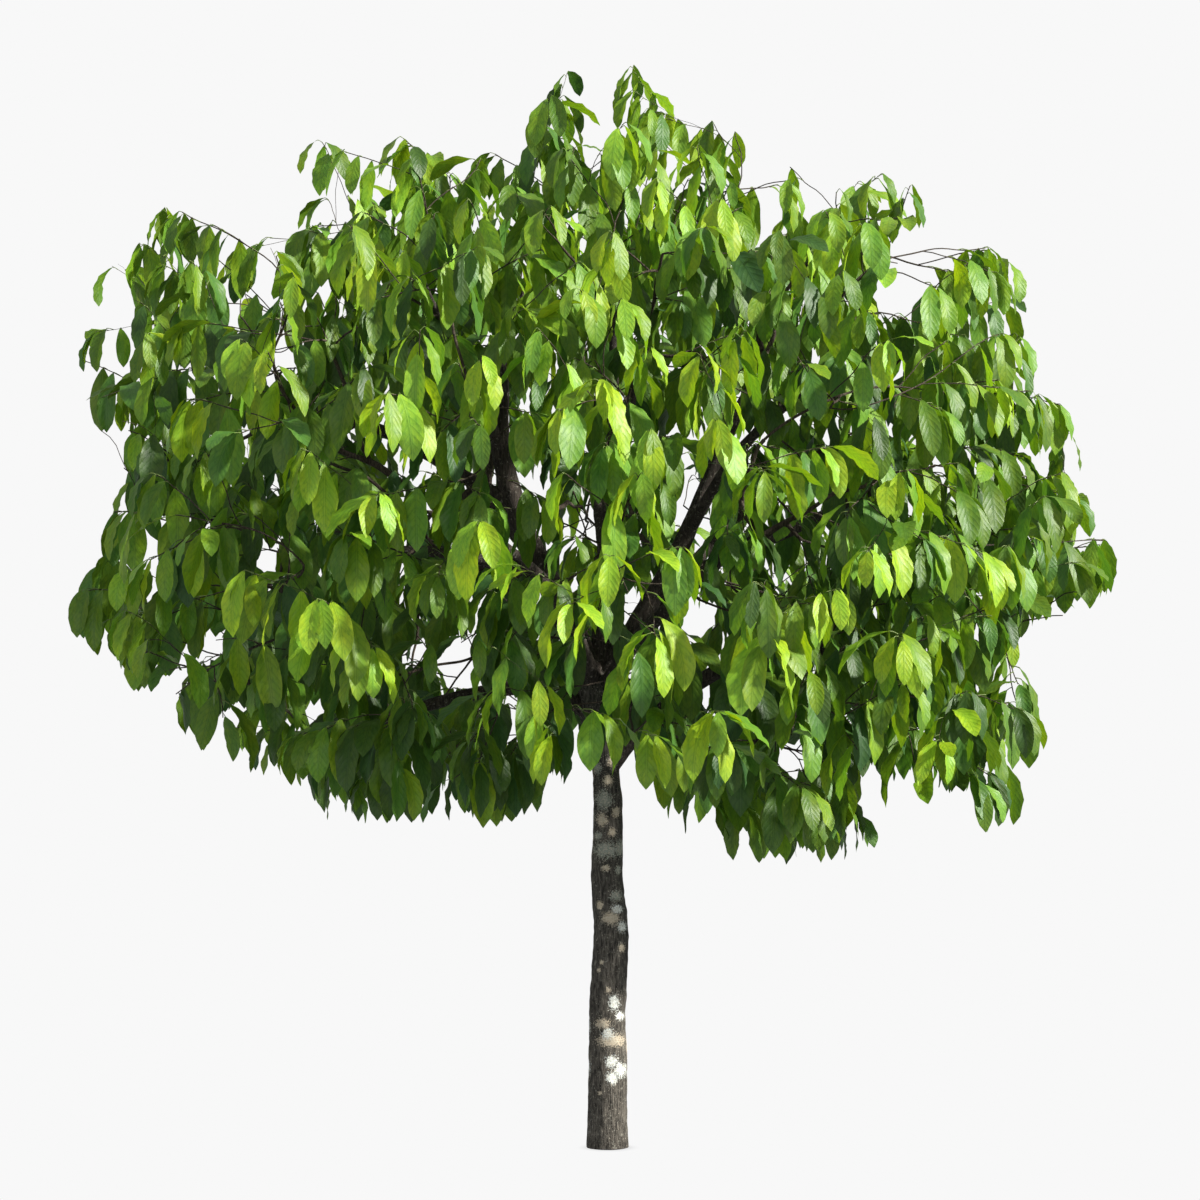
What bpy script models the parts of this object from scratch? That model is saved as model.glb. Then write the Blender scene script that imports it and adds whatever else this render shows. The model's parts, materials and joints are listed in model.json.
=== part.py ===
# Cacao tree, about 5 m tall, standing on a straight lichened trunk.
#
# The trunk runs from a flat cut at ground level to its fork.  Main boughs
# leave the fork like the ribs of a bowl and end where they enter the leaves.
# The leaves are uneven masses in tiers round an open heart, one solid each.
#
# Metres, +Z up.  The origin is the middle of the cut under the trunk.
# +X is the right side as seen from the front, -Y is the front.

import bpy
import bmesh
import math
import random
import numpy as np
from mathutils import Vector, Matrix
from mathutils.bvhtree import BVHTree

# ---------------------------------------------------------------- sizes ----
GAP = 0.0003                 # clear gap between neighbouring solids

TRUNK_TOP = 2.19             # height of the crotch between the boughs
TRUNK_D_FOOT = 0.182         # diameter at the ground
TRUNK_D_NECK = 0.124         # diameter under the fork
TRUNK_NECK_AT = 1.72         # height of the neck
TRUNK_D_FORK = 0.205         # swelling where the boughs spring
TRUNK_FLARE = 0.006          # slight flare of the foot
TRUNK_LEAN = -0.047          # sideways shift of the fork from the foot
LEAN_FROM = 1.60             # height from which it leans
# slight bends: height, spread and sideways shift
TRUNK_WAVER = ((0.98, 0.16, 0.013), (1.27, 0.12, -0.006), (0.58, 0.14, -0.004))
TRUNK_SIDES = 14
TRUNK_RINGS = 24

LIMB_SIDES = 8
LIMB_RINGS = 11

HEART = Vector((0.0, 0.0, 2.95))     # centre from which the crown is measured
OPEN_AT = Vector((-0.08, 0.0, 2.78)) # middle of the leafless heart
OPEN_SIZE = (0.98, 0.86, 0.86)       # its half sizes
TRUNK_CLEAR = 0.24                   # leafless column round the trunk
SKY_GAP_AT = (0.06, 2.50)            # chink of sky over the fork, x and z
SKY_GAP_SIZE = (0.07, 0.17)          # its half width and half height

# reach of the crown's outline from HEART as seen from the front, every 10
# degrees from straight down to straight up, on its right and on its left
REACH_STEP = 10.0
REACH_RIGHT = (1.16, 1.42, 1.71, 1.93, 1.97, 2.42, 2.30, 2.08, 2.52, 2.34,
               2.18, 2.06, 2.19, 2.00, 2.06, 1.80, 1.86, 1.97, 2.12)
REACH_LEFT = (1.16, 1.34, 1.58, 1.70, 1.98, 2.00, 2.24, 2.48, 2.55, 2.30,
              2.54, 2.56, 2.58, 2.10, 2.17, 1.97, 1.72, 2.00, 2.12)
DEPTH_SHARE = 0.96           # depth of the crown against its width

# tiers of leaf masses: name, how many, angle above level from HEART,
# heading of the first one, how far its middle lies inside the outline
TIERS = (
    ("skirt", 7, -50.0, 26.0, 0.52),
    ("low", 9, -19.0, 4.0, 0.56),
    ("middle", 9, 7.0, -14.0, 0.56),
    ("high", 8, 33.0, 3.0, 0.56),
    ("top", 5, 60.0, 18.0, 0.58),
    ("crest", 1, 88.0, 0.0, 0.56),
)
LOBE_SIZE = 0.80             # free radius of one leaf mass
LOBE_RAGGED = 0.15           # unevenness of its surface
LOBE_HANG = 0.16             # how much further it hangs down than it rises
LOBE_POINTS = 82

# boughs: name, parent, share of the way along it, heading, swing of the
# heading, pitch at the start, the middle and the end, length, diameters
BOUGHS = (
    ("bough_right_low", "trunk", 0.795, -10, 14, 54, 30, -8, 1.30, 0.088, 0.050),
    ("bough_left_low", "trunk", 0.868, 186, -10, 66, -56, -10, 1.40, 0.080, 0.042),
    ("bough_right", "trunk", 0.960, -6, 8, 62, 62, 66, 1.70, 0.100, 0.056),
    ("bough_centre", "trunk", 0.975, 64, 20, 80, 86, 80, 1.80, 0.094, 0.050),
    ("bough_left", "trunk", 0.962, 178, 0, 64, 64, 112, 2.00, 0.130, 0.070),
    ("bough_front_right", "trunk", 0.940, -62, 10, 44, 34, 10, 1.50, 0.076, 0.044),
    ("bough_front_left", "trunk", 0.950, -116, -12, 50, 40, 12, 1.55, 0.080, 0.044),
    ("bough_back_right", "trunk", 0.945, 44, 12, 50, 44, 22, 1.60, 0.088, 0.046),
    ("bough_back_left", "trunk", 0.955, 126, -12, 52, 42, 18, 1.60, 0.088, 0.046),
    ("bough_right_outer", "bough_right", 0.300, -2, -12, 30, 26, 16, 1.30, 0.064, 0.040),
    ("bough_right_front", "bough_right", 0.480, -62, 14, 40, 38, 30, 1.20, 0.056, 0.036),
    ("bough_left_outer", "bough_left", 0.470, 174, 10, 28, 30, 18, 1.20, 0.070, 0.042),
    ("bough_left_middle", "bough_left", 0.270, 196, -14, 22, 4, -4, 1.20, 0.060, 0.038),
    ("bough_left_front", "bough_left", 0.600, -120, 12, 50, 44, 34, 1.10, 0.054, 0.034),
    ("bough_back", "bough_centre", 0.330, 98, -8, 40, 38, 30, 1.30, 0.062, 0.038),
    ("bough_front", "bough_centre", 0.450, -84, 10, 44, 42, 36, 1.20, 0.056, 0.036),
)

SEED = 417
BARK = (0.105, 0.088, 0.074)
LEAF_TONES = ((0.085, 0.190, 0.022), (0.120, 0.250, 0.026), (0.060, 0.140, 0.020),
              (0.150, 0.290, 0.030), (0.095, 0.215, 0.034))


# ------------------------------------------------------------- materials ----
def material(name, colour, rough):
    mat = bpy.data.materials.new(name)
    mat.use_nodes = True
    shader = next(n for n in mat.node_tree.nodes if n.type == "BSDF_PRINCIPLED")
    shader.inputs["Base Color"].default_value = (*colour, 1.0)
    shader.inputs["Roughness"].default_value = rough
    shader.inputs["Metallic"].default_value = 0.0
    mat.diffuse_color = (*colour, 1.0)
    return mat


def add_object(name, bm, mat, sharp):
    mesh = bpy.data.meshes.new(name)
    bm.normal_update()
    bm.to_mesh(mesh)
    bm.free()
    mesh.materials.append(mat)
    mesh.shade_smooth()
    mesh.set_sharp_from_angle(angle=math.radians(sharp))
    obj = bpy.data.objects.new(name, mesh)
    bpy.context.scene.collection.objects.link(obj)
    return obj


# ----------------------------------------------------------------- limbs ----
def tube(path, radii, sides, phase=0.0, ripple=None):
    """A closed tapering tube along path, with flat ends."""
    bm = bmesh.new()
    rings = []
    side = None
    for i, p in enumerate(path):
        a = path[max(i - 1, 0)]
        b = path[min(i + 1, len(path) - 1)]
        along = (b - a).normalized()
        if side is None:
            side = along.cross(Vector((0.31, 0.95, 0.0))).normalized()
        side = (side - along * side.dot(along)).normalized()
        other = along.cross(side)
        ring = []
        for k in range(sides):
            turn = phase + 2.0 * math.pi * k / sides
            r = radii[i] * (ripple(i, turn) if ripple else 1.0)
            ring.append(bm.verts.new(p + (side * math.cos(turn)
                                          + other * math.sin(turn)) * r))
        rings.append(ring)
    for low, high in zip(rings, rings[1:]):
        for k in range(sides):
            n = (k + 1) % sides
            bm.faces.new((low[k], low[n], high[n], high[k]))
    bm.faces.new(list(reversed(rings[0])))
    bm.faces.new(rings[-1])
    return bm


def trunk_path(z):
    """Middle of the trunk at height z, with its lean and slight waver."""
    x = TRUNK_LEAN * max(0.0, z - LEAN_FROM) / (TRUNK_TOP - LEAN_FROM)
    for height, width, shift in TRUNK_WAVER:
        x += shift * math.exp(-((z - height) / width) ** 2)
    y = 0.006 * z + 0.005 * math.sin(3.2 * z)
    return Vector((x, y, z))


def trunk_radius(z):
    foot, neck, fork = TRUNK_D_FOOT / 2, TRUNK_D_NECK / 2, TRUNK_D_FORK / 2
    if z <= TRUNK_NECK_AT:
        t = z / TRUNK_NECK_AT
        r = foot + (neck - foot) * t ** 1.35
        return r + TRUNK_FLARE * math.exp(-z / 0.07)
    t = (z - TRUNK_NECK_AT) / (TRUNK_TOP - TRUNK_NECK_AT)
    swell = 0.5 - 0.5 * math.cos(math.pi * min(1.0, t / 0.72))
    r = neck + (fork - neck) * swell
    if t > 0.86:
        r *= math.cos((t - 0.86) / 0.14 * math.radians(52))
    return r


def trunk_body(grow=0.0):
    heights = [TRUNK_TOP * i / TRUNK_RINGS for i in range(TRUNK_RINGS + 1)]
    heights.insert(1, 0.035)
    rng = random.Random(SEED)
    swing = [rng.uniform(0, 6.28) for _ in range(3)]
    bm = bmesh.new()
    rings = []
    for h in heights:
        p, r = trunk_path(h), trunk_radius(h)
        lift = grow if h == heights[-1] else (-grow if h == 0 else 0.0)
        ring = []
        for k in range(TRUNK_SIDES):
            a = 2 * math.pi * k / TRUNK_SIDES
            uneven = (1.0 + 0.022 * math.sin(2 * a + swing[0] + 2.1 * h)
                      + 0.016 * math.sin(3 * a + swing[1] - 3.3 * h)
                      + 0.012 * math.sin(5.3 * h + swing[2] + a))
            d = r * uneven + grow * 1.1
            ring.append(bm.verts.new((p.x + d * math.cos(a), p.y + d * math.sin(a),
                                      p.z + lift)))
        rings.append(ring)
    for low, high in zip(rings, rings[1:]):
        for k in range(TRUNK_SIDES):
            n = (k + 1) % TRUNK_SIDES
            bm.faces.new((low[k], low[n], high[n], high[k]))
    bm.faces.new(list(reversed(rings[0])))
    bm.faces.new(rings[-1])
    return bm


def limb_path(start, heading, swing, pitches, length, rng):
    """Points along a limb that bends from one pitch to the next."""
    p = start.copy()
    points = [p.copy()]
    steps = 48
    wob = [rng.uniform(0, 6.28) for _ in range(2)]
    for i in range(steps):
        t = (i + 0.5) / steps
        a, b, c = pitches
        pitch = a * (1 - t) ** 2 + 2 * b * t * (1 - t) + c * t * t
        pitch += 5.0 * math.sin(7.5 * t + wob[0]) * min(1, 3 * t)
        turn = heading + swing * t + 6.0 * math.sin(6.2 * t + wob[1]) * t
        pitch, turn = math.radians(pitch), math.radians(turn)
        d = Vector((math.cos(pitch) * math.cos(turn),
                    math.cos(pitch) * math.sin(turn), math.sin(pitch)))
        p = p + d * (length / steps)
        points.append(p.copy())
    return points


def along_path(points, share):
    t = max(0.0, min(1.0, share)) * (len(points) - 1)
    i = min(int(t), len(points) - 2)
    return points[i].lerp(points[i + 1], t - i)


# ----------------------------------------------------------- leaf masses ----
def outline(angle, table):
    """The outline's reach at angles in degrees above level."""
    t = np.clip((angle + 90.0) / REACH_STEP, 0, len(table) - 1.001)
    i = t.astype(int)
    f = t - i
    f = f * f * (3 - 2 * f)
    table = np.array(table)
    return table[i] * (1 - f) + table[i + 1] * f


def reach(direction):
    """How far the crown reaches from HEART along unit directions (n, 3)."""
    el = np.degrees(np.arcsin(np.clip(direction[:, 2], -1, 1)))
    az = np.arctan2(direction[:, 1], direction[:, 0])
    right, left = outline(el, REACH_RIGHT), outline(el, REACH_LEFT)
    c = np.cos(az)
    mixed = 0.5 * (right + left) * DEPTH_SHARE
    mixed = mixed * (1 + 0.05 * np.sin(3 * az + 0.09 * el + 1.0)
                     + 0.03 * np.sin(5 * az - 0.06 * el))
    w = np.abs(c) ** 1.5
    return np.where(c > 0, right, left) * w + mixed * (1 - w)


def inside_leaves(p):
    """True where leaves grow: under the outline and outside the open heart."""
    rel = p - np.array(HEART)
    dist = np.linalg.norm(rel, axis=1)
    ok = dist <= reach(rel / np.maximum(dist, 1e-6)[:, None])
    flat = np.hypot(rel[:, 0], rel[:, 2])
    angle = np.degrees(np.arctan2(rel[:, 2], np.abs(rel[:, 0])))
    ok &= flat <= np.where(rel[:, 0] > 0, outline(angle, REACH_RIGHT),
                           outline(angle, REACH_LEFT))
    o = (p - np.array(OPEN_AT)) / np.array(OPEN_SIZE)
    ok &= (o ** 2).sum(1) > 1.0
    ok &= (np.hypot(p[:, 0], p[:, 1]) > TRUNK_CLEAR) | (p[:, 2] > 2.6)
    gx = (p[:, 0] - SKY_GAP_AT[0]) / SKY_GAP_SIZE[0]
    gz = (p[:, 2] - SKY_GAP_AT[1]) / SKY_GAP_SIZE[1]
    ok &= gx ** 2 + gz ** 2 > 1.0
    return ok


def unit(az, el):
    az, el = math.radians(az), math.radians(el)
    return np.array((math.cos(el) * math.cos(az), math.cos(el) * math.sin(az),
                     math.sin(el)))


def even_directions(count, rng):
    """Evenly spread unit directions, turned at random."""
    i = np.arange(count) + 0.5
    z = 1 - 2 * i / count
    a = i * math.pi * (3 - math.sqrt(5))
    r = np.sqrt(1 - z * z)
    pts = np.stack((r * np.cos(a), r * np.sin(a), z), 1)
    turn = Matrix.Rotation(rng.uniform(0, 6.28), 3, Vector(
        (rng.uniform(-1, 1), rng.uniform(-1, 1), rng.uniform(-1, 1))).normalized())
    return pts @ np.array(turn)


def mass_sites():
    rng = random.Random(SEED + 1)
    sites = []
    for tier, count, el, first, inset in TIERS:
        for k in range(count):
            az = first + 360.0 * k / count + rng.uniform(-6, 6) * (count > 1)
            up = el + rng.uniform(-4, 4) * (count > 1)
            d = unit(az, up)
            far = reach(d[None, :])[0]
            flat = np.hypot(d[0], d[2])
            angle = np.array([math.degrees(math.atan2(d[2], abs(d[0])))])
            side = REACH_RIGHT if d[0] > 0 else REACH_LEFT
            far = min(far, outline(angle, side)[0] / flat)
            size = LOBE_SIZE * rng.uniform(0.9, 1.1)
            name = "leaves_%s_%d" % (tier, k + 1) if count > 1 else "leaves_" + tier
            sites.append((name, np.array(HEART) + d * (far - inset), size))
    return sites


def build_masses(mats):
    sites = mass_sites()
    made = []
    for n, (name, middle, size) in enumerate(sites):
        rng = random.Random(SEED + 50 + n)
        dirs = even_directions(LOBE_POINTS, rng)
        # free surface: rounded, ragged, hanging a little
        free = np.full(len(dirs), size)
        for _ in range(5):
            v = np.array([rng.gauss(0, 1) for _ in range(3)])
            v *= rng.uniform(2.0, 4.5) / np.linalg.norm(v)
            free += size * LOBE_RAGGED * 0.45 * np.sin(dirs @ v + rng.uniform(0, 6.28))
        free *= 1 - LOBE_HANG * dirs[:, 2]
        # flat limits towards the neighbours
        for m, (_, other, other_size) in enumerate(sites):
            if m == n:
                continue
            gap = other - middle
            dist = np.linalg.norm(gap)
            if dist > 2.6:
                continue
            share = 0.5 + (size ** 2 - other_size ** 2) / (2 * dist * dist)
            towards = dirs @ (gap / dist)
            limit = np.where(towards > 1e-3, (dist * share - GAP)
                             / np.maximum(towards, 1e-3), 1e9)
            free = np.minimum(free, limit)
        # the outline, the open heart, the trunk's column and the sky gap
        steps = 60
        t = np.linspace(0.05, 1, steps)
        p = middle + dirs[:, None, :] * (free[:, None] * t)[:, :, None]
        ok = inside_leaves(p.reshape(-1, 3)).reshape(len(dirs), steps)
        first_bad = np.where(ok.all(1), steps, (~ok).argmax(1))
        high = free * t[np.minimum(first_bad, steps - 1)]
        low = free * t[np.maximum(first_bad - 1, 0)]
        low = np.where(first_bad == 0, 0.02, low)
        for _ in range(14):
            mid = 0.5 * (low + high)
            ok = inside_leaves(middle + dirs * mid[:, None])
            low = np.where(ok, mid, low)
            high = np.where(ok, high, mid)
        r = np.where(first_bad == steps, free, low)
        r = np.maximum(r, 0.10)
        solid = add_object(name, ball_body(middle, dirs, r), mats[n % len(mats)], 180)
        made.append((solid, cutter(name, ball_body(middle, dirs, r + 4 * GAP)),
                     Vector(middle)))
    return made


def ball_body(middle, dirs, r):
    """A closed body round middle, as far out as r along each direction."""
    bm = bmesh.new()
    ball = [bm.verts.new(d) for d in dirs]
    bmesh.ops.convex_hull(bm, input=ball)
    for v in bm.verts:
        k = int(np.argmax(dirs @ np.array(v.co)))
        v.co = Vector(middle + dirs[k] * r[k])
    bmesh.ops.recalc_face_normals(bm, faces=bm.faces)
    return bm


# ----------------------------------------------------------- fitting up ----
def cutter(name, bm):
    """A hidden body that is only cut with."""
    mesh = bpy.data.meshes.new("cutter_" + name)
    bm.to_mesh(mesh)
    bm.free()
    obj = bpy.data.objects.new("cutter_" + name, mesh)
    obj.display_type = "WIRE"
    obj.hide_render = True
    bpy.context.scene.collection.objects.link(obj)
    return obj


def boxes_meet(a, b, slack=0.01):
    pa = [v.co for v in a.data.vertices]
    pb = [v.co for v in b.data.vertices]
    for axis in range(3):
        if (min(v[axis] for v in pa) > max(v[axis] for v in pb) + slack
                or min(v[axis] for v in pb) > max(v[axis] for v in pa) + slack):
            return False
    return True


def cut_away(obj, cutters, keep_near):
    """Cut obj back from each of the cutters, and keep the part at keep_near."""
    for other in cutters:
        if not boxes_meet(obj, other):
            continue
        mod = obj.modifiers.new("clear", "BOOLEAN")
        mod.operation = "DIFFERENCE"
        mod.solver = "EXACT"
        mod.object = other
        graph = bpy.context.evaluated_depsgraph_get()
        fresh = bpy.data.meshes.new_from_object(obj.evaluated_get(graph))
        obj.modifiers.clear()
        bm = bmesh.new()
        bm.from_mesh(fresh)
        keep_one_piece(bm, keep_near)
        if len(bm.faces) >= 4:
            bm.to_mesh(obj.data)
        bm.free()
        bpy.data.meshes.remove(fresh)


def keep_one_piece(bm, near):
    seen, groups = set(), []
    for v in bm.verts:
        if v in seen:
            continue
        stack, group = [v], []
        seen.add(v)
        while stack:
            u = stack.pop()
            group.append(u)
            for e in u.link_edges:
                w = e.other_vert(u)
                if w not in seen:
                    seen.add(w)
                    stack.append(w)
        groups.append(group)
    if len(groups) < 2:
        return
    best = min(groups, key=lambda g: min((v.co - near).length for v in g)
               + (10.0 if len(g) < 8 else 0.0))
    drop = [v for g in groups if g is not best for v in g]
    bmesh.ops.delete(bm, geom=drop, context="VERTS")


def first_entry(points, bodies):
    """Index of the first point of a limb's middle that is inside leaves."""
    for i, p in enumerate(points):
        for middle, tree in bodies:
            inwards = middle - p
            if inwards.length > 1.6:
                continue
            if tree.ray_cast(p, inwards.normalized(), inwards.length)[0] is None:
                return i
    return len(points) - 1


def main():
    for obj in list(bpy.data.objects):
        bpy.data.objects.remove(obj, do_unlink=True)

    bark = material("bark", BARK, 0.92)
    greens = [material("leaf_%d" % (i + 1), c, 0.5)
              for i, c in enumerate(LEAF_TONES)]

    trunk = add_object("trunk", trunk_body(), bark, 60)
    masses = build_masses(greens)
    bodies = [(at, BVHTree.FromPolygons([v.co for v in m.data.vertices],
                                        [tuple(p.vertices) for p in m.data.polygons]))
              for m, _, at in masses]

    paths = {}
    cutters = [cutter("trunk", trunk_body(GAP * 1.3))]
    for row, (name, parent, share, heading, swing, p0, p1, p2,
              length, d0, d1) in enumerate(BOUGHS):
        rng = random.Random(SEED + 200 + row)
        if parent == "trunk":
            start = trunk_path(TRUNK_TOP * share)
        else:
            start = along_path(paths[parent], share)
        points = limb_path(start, heading, swing, (p0, p1, p2), length, rng)
        paths[name] = points
        stop = min(len(points) - 1, first_entry(points, bodies) + 1)
        share_end = stop / (len(points) - 1)
        path, radii = [], []
        for i in range(LIMB_RINGS + 1):
            t = share_end * i / LIMB_RINGS
            path.append(along_path(points, t))
            r = 0.5 * (d0 + (d1 - d0) * t)
            radii.append(r * (1.0 + 0.28 * math.exp(-t * length / 0.10)))
        turned = rng.uniform(0, 1)
        limb = add_object(name, tube(path, radii, LIMB_SIDES, turned), bark, 60)
        cut_away(limb, cutters + [c for _, c, _ in masses], path[LIMB_RINGS // 2])
        first = (path[0] - path[1]).normalized() * GAP
        last = (path[-1] - path[-2]).normalized() * GAP
        longer = [path[0] + first] + path[1:-1] + [path[-1] + last]
        cutters.append(cutter(name, tube(longer, [r + GAP * 1.5 for r in radii],
                                         LIMB_SIDES, turned)))
    for obj in cutters + [c for _, c, _ in masses]:
        data = obj.data
        bpy.data.objects.remove(obj)
        bpy.data.meshes.remove(data)


main()
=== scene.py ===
import bpy
import json
import math
import random
import numpy as np
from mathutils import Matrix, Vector

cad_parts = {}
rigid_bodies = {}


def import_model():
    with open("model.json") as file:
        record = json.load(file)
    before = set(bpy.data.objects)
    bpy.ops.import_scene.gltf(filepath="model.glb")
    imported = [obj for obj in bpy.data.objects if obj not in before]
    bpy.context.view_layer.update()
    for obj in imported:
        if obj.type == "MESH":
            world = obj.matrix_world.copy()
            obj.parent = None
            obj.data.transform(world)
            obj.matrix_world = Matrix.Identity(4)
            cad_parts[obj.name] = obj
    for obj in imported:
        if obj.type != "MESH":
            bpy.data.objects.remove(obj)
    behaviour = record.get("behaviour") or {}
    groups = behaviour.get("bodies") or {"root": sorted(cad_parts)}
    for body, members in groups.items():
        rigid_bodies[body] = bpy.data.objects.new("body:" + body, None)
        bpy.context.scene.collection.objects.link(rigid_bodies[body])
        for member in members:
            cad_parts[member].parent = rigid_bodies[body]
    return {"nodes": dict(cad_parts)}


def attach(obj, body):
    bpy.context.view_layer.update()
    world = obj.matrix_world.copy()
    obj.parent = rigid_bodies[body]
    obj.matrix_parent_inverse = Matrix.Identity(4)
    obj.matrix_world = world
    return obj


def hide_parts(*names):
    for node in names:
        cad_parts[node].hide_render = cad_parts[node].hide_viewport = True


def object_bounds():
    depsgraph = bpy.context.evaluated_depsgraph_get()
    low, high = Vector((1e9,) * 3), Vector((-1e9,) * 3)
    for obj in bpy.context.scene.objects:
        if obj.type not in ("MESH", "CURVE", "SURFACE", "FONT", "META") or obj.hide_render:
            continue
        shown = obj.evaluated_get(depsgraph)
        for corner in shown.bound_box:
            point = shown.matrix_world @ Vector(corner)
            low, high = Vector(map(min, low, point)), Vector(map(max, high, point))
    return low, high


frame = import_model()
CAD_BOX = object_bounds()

# Cacao tree: bark, twigs and leaves grown on the limbs of the frame.
# Metres, +Z up, the front of the tree faces -Y.

SEED = 417
PX = 0.00461                 # one pixel of the front view at the trunk
AXIS_PX, GROUND_PX = 608.0, 1147.0
EYE = (-0.037, -18.0, 2.522)

# ------------------------------------------------- sizes of the frame ------
TRUNK_TOP = 2.19
TRUNK_D_FOOT = 0.182
TRUNK_D_NECK = 0.124
TRUNK_NECK_AT = 1.72
TRUNK_D_FORK = 0.205
TRUNK_FLARE = 0.006
TRUNK_LEAN = -0.047
LEAN_FROM = 1.60
TRUNK_WAVER = ((0.98, 0.16, 0.013), (1.27, 0.12, -0.006), (0.58, 0.14, -0.004))

HEART = np.array((0.0, 0.0, 2.95))
OPEN_AT = np.array((-0.08, 0.0, 2.78))
OPEN_SIZE = np.array((0.98, 0.86, 0.86))
REACH_STEP = 10.0
REACH_RIGHT = (1.16, 1.42, 1.71, 1.93, 1.97, 2.42, 2.30, 2.08, 2.52, 2.34,
               2.18, 2.06, 2.19, 2.00, 2.06, 1.80, 1.86, 1.97, 2.12)
REACH_LEFT = (1.16, 1.34, 1.58, 1.70, 1.98, 2.00, 2.24, 2.48, 2.55, 2.30,
              2.54, 2.56, 2.58, 2.10, 2.17, 1.97, 1.72, 2.00, 2.12)
DEPTH_SHARE = 0.96

BOUGHS = (
    ("bough_right_low", "trunk", 0.795, -10, 14, 54, 30, -8, 1.30, 0.088, 0.050),
    ("bough_left_low", "trunk", 0.868, 186, -10, 66, -56, -10, 1.40, 0.080, 0.042),
    ("bough_right", "trunk", 0.960, -6, 8, 62, 62, 66, 1.70, 0.100, 0.056),
    ("bough_centre", "trunk", 0.975, 64, 20, 80, 86, 80, 1.80, 0.094, 0.050),
    ("bough_left", "trunk", 0.962, 178, 0, 64, 64, 112, 2.00, 0.130, 0.070),
    ("bough_front_right", "trunk", 0.940, -62, 10, 44, 34, 10, 1.50, 0.076, 0.044),
    ("bough_front_left", "trunk", 0.950, -116, -12, 50, 40, 12, 1.55, 0.080, 0.044),
    ("bough_back_right", "trunk", 0.945, 44, 12, 50, 44, 22, 1.60, 0.088, 0.046),
    ("bough_back_left", "trunk", 0.955, 126, -12, 52, 42, 18, 1.60, 0.088, 0.046),
    ("bough_right_outer", "bough_right", 0.300, -2, -12, 30, 26, 16, 1.30, 0.064, 0.040),
    ("bough_right_front", "bough_right", 0.480, -62, 14, 40, 38, 30, 1.20, 0.056, 0.036),
    ("bough_left_outer", "bough_left", 0.470, 174, 10, 28, 30, 18, 1.20, 0.070, 0.042),
    ("bough_left_middle", "bough_left", 0.270, 196, -14, 22, 4, -4, 1.20, 0.060, 0.038),
    ("bough_left_front", "bough_left", 0.600, -120, 12, 50, 44, 34, 1.10, 0.054, 0.034),
    ("bough_back", "bough_centre", 0.330, 98, -8, 40, 38, 30, 1.30, 0.062, 0.038),
    ("bough_front", "bough_centre", 0.450, -84, 10, 44, 42, 36, 1.20, 0.056, 0.036),
)


def unit(v):
    v = np.asarray(v, float)
    return v / np.maximum(np.linalg.norm(v, axis=-1, keepdims=True), 1e-9)


def trunk_path(z):
    x = TRUNK_LEAN * max(0.0, z - LEAN_FROM) / (TRUNK_TOP - LEAN_FROM)
    for height, width, shift in TRUNK_WAVER:
        x += shift * math.exp(-((z - height) / width) ** 2)
    return np.array((x, 0.006 * z + 0.005 * math.sin(3.2 * z), z))


def trunk_radius(z):
    foot, neck, fork = TRUNK_D_FOOT / 2, TRUNK_D_NECK / 2, TRUNK_D_FORK / 2
    if z <= TRUNK_NECK_AT:
        t = z / TRUNK_NECK_AT
        return foot + (neck - foot) * t ** 1.35 + TRUNK_FLARE * math.exp(-z / 0.07)
    t = (z - TRUNK_NECK_AT) / (TRUNK_TOP - TRUNK_NECK_AT)
    r = neck + (fork - neck) * (0.5 - 0.5 * math.cos(math.pi * min(1.0, t / 0.72)))
    if t > 0.86:
        r *= math.cos((t - 0.86) / 0.14 * math.radians(52))
    return r


def limb_path(start, heading, swing, pitches, length, rng):
    p = np.array(start, float)
    points = [p.copy()]
    steps = 48
    wob = [rng.uniform(0, 6.28) for _ in range(2)]
    for i in range(steps):
        t = (i + 0.5) / steps
        a, b, c = pitches
        pitch = a * (1 - t) ** 2 + 2 * b * t * (1 - t) + c * t * t
        pitch += 5.0 * math.sin(7.5 * t + wob[0]) * min(1, 3 * t)
        turn = heading + swing * t + 6.0 * math.sin(6.2 * t + wob[1]) * t
        pitch, turn = math.radians(pitch), math.radians(turn)
        p = p + np.array((math.cos(pitch) * math.cos(turn),
                          math.cos(pitch) * math.sin(turn),
                          math.sin(pitch))) * (length / steps)
        points.append(p.copy())
    return np.array(points)


def along(points, share):
    t = max(0.0, min(1.0, share)) * (len(points) - 1)
    i = min(int(t), len(points) - 2)
    return points[i] * (1 - (t - i)) + points[i + 1] * (t - i)


def outline(angle, table):
    t = np.clip((angle + 90.0) / REACH_STEP, 0, len(table) - 1.001)
    i = t.astype(int)
    f = t - i
    f = f * f * (3 - 2 * f)
    table = np.array(table)
    return table[i] * (1 - f) + table[i + 1] * f


def reach(d):
    """Reach of the crown from HEART along unit directions (n, 3)."""
    el = np.degrees(np.arcsin(np.clip(d[:, 2], -1, 1)))
    az = np.arctan2(d[:, 1], d[:, 0])
    right, left = outline(el, REACH_RIGHT), outline(el, REACH_LEFT)
    c = np.cos(az)
    mixed = 0.5 * (right + left) * DEPTH_SHARE
    mixed = mixed * (1 + 0.05 * np.sin(3 * az + 0.09 * el + 1.0)
                     + 0.03 * np.sin(5 * az - 0.06 * el))
    w = np.abs(c) ** 1.5
    far = np.where(c > 0, right, left) * w + mixed * (1 - w)
    flat = np.hypot(d[:, 0], d[:, 2])
    angle = np.degrees(np.arctan2(d[:, 2], np.abs(d[:, 0])))
    side = np.where(d[:, 0] > 0, outline(angle, REACH_RIGHT),
                    outline(angle, REACH_LEFT))
    return np.minimum(far, side / np.maximum(flat, 1e-3))


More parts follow.
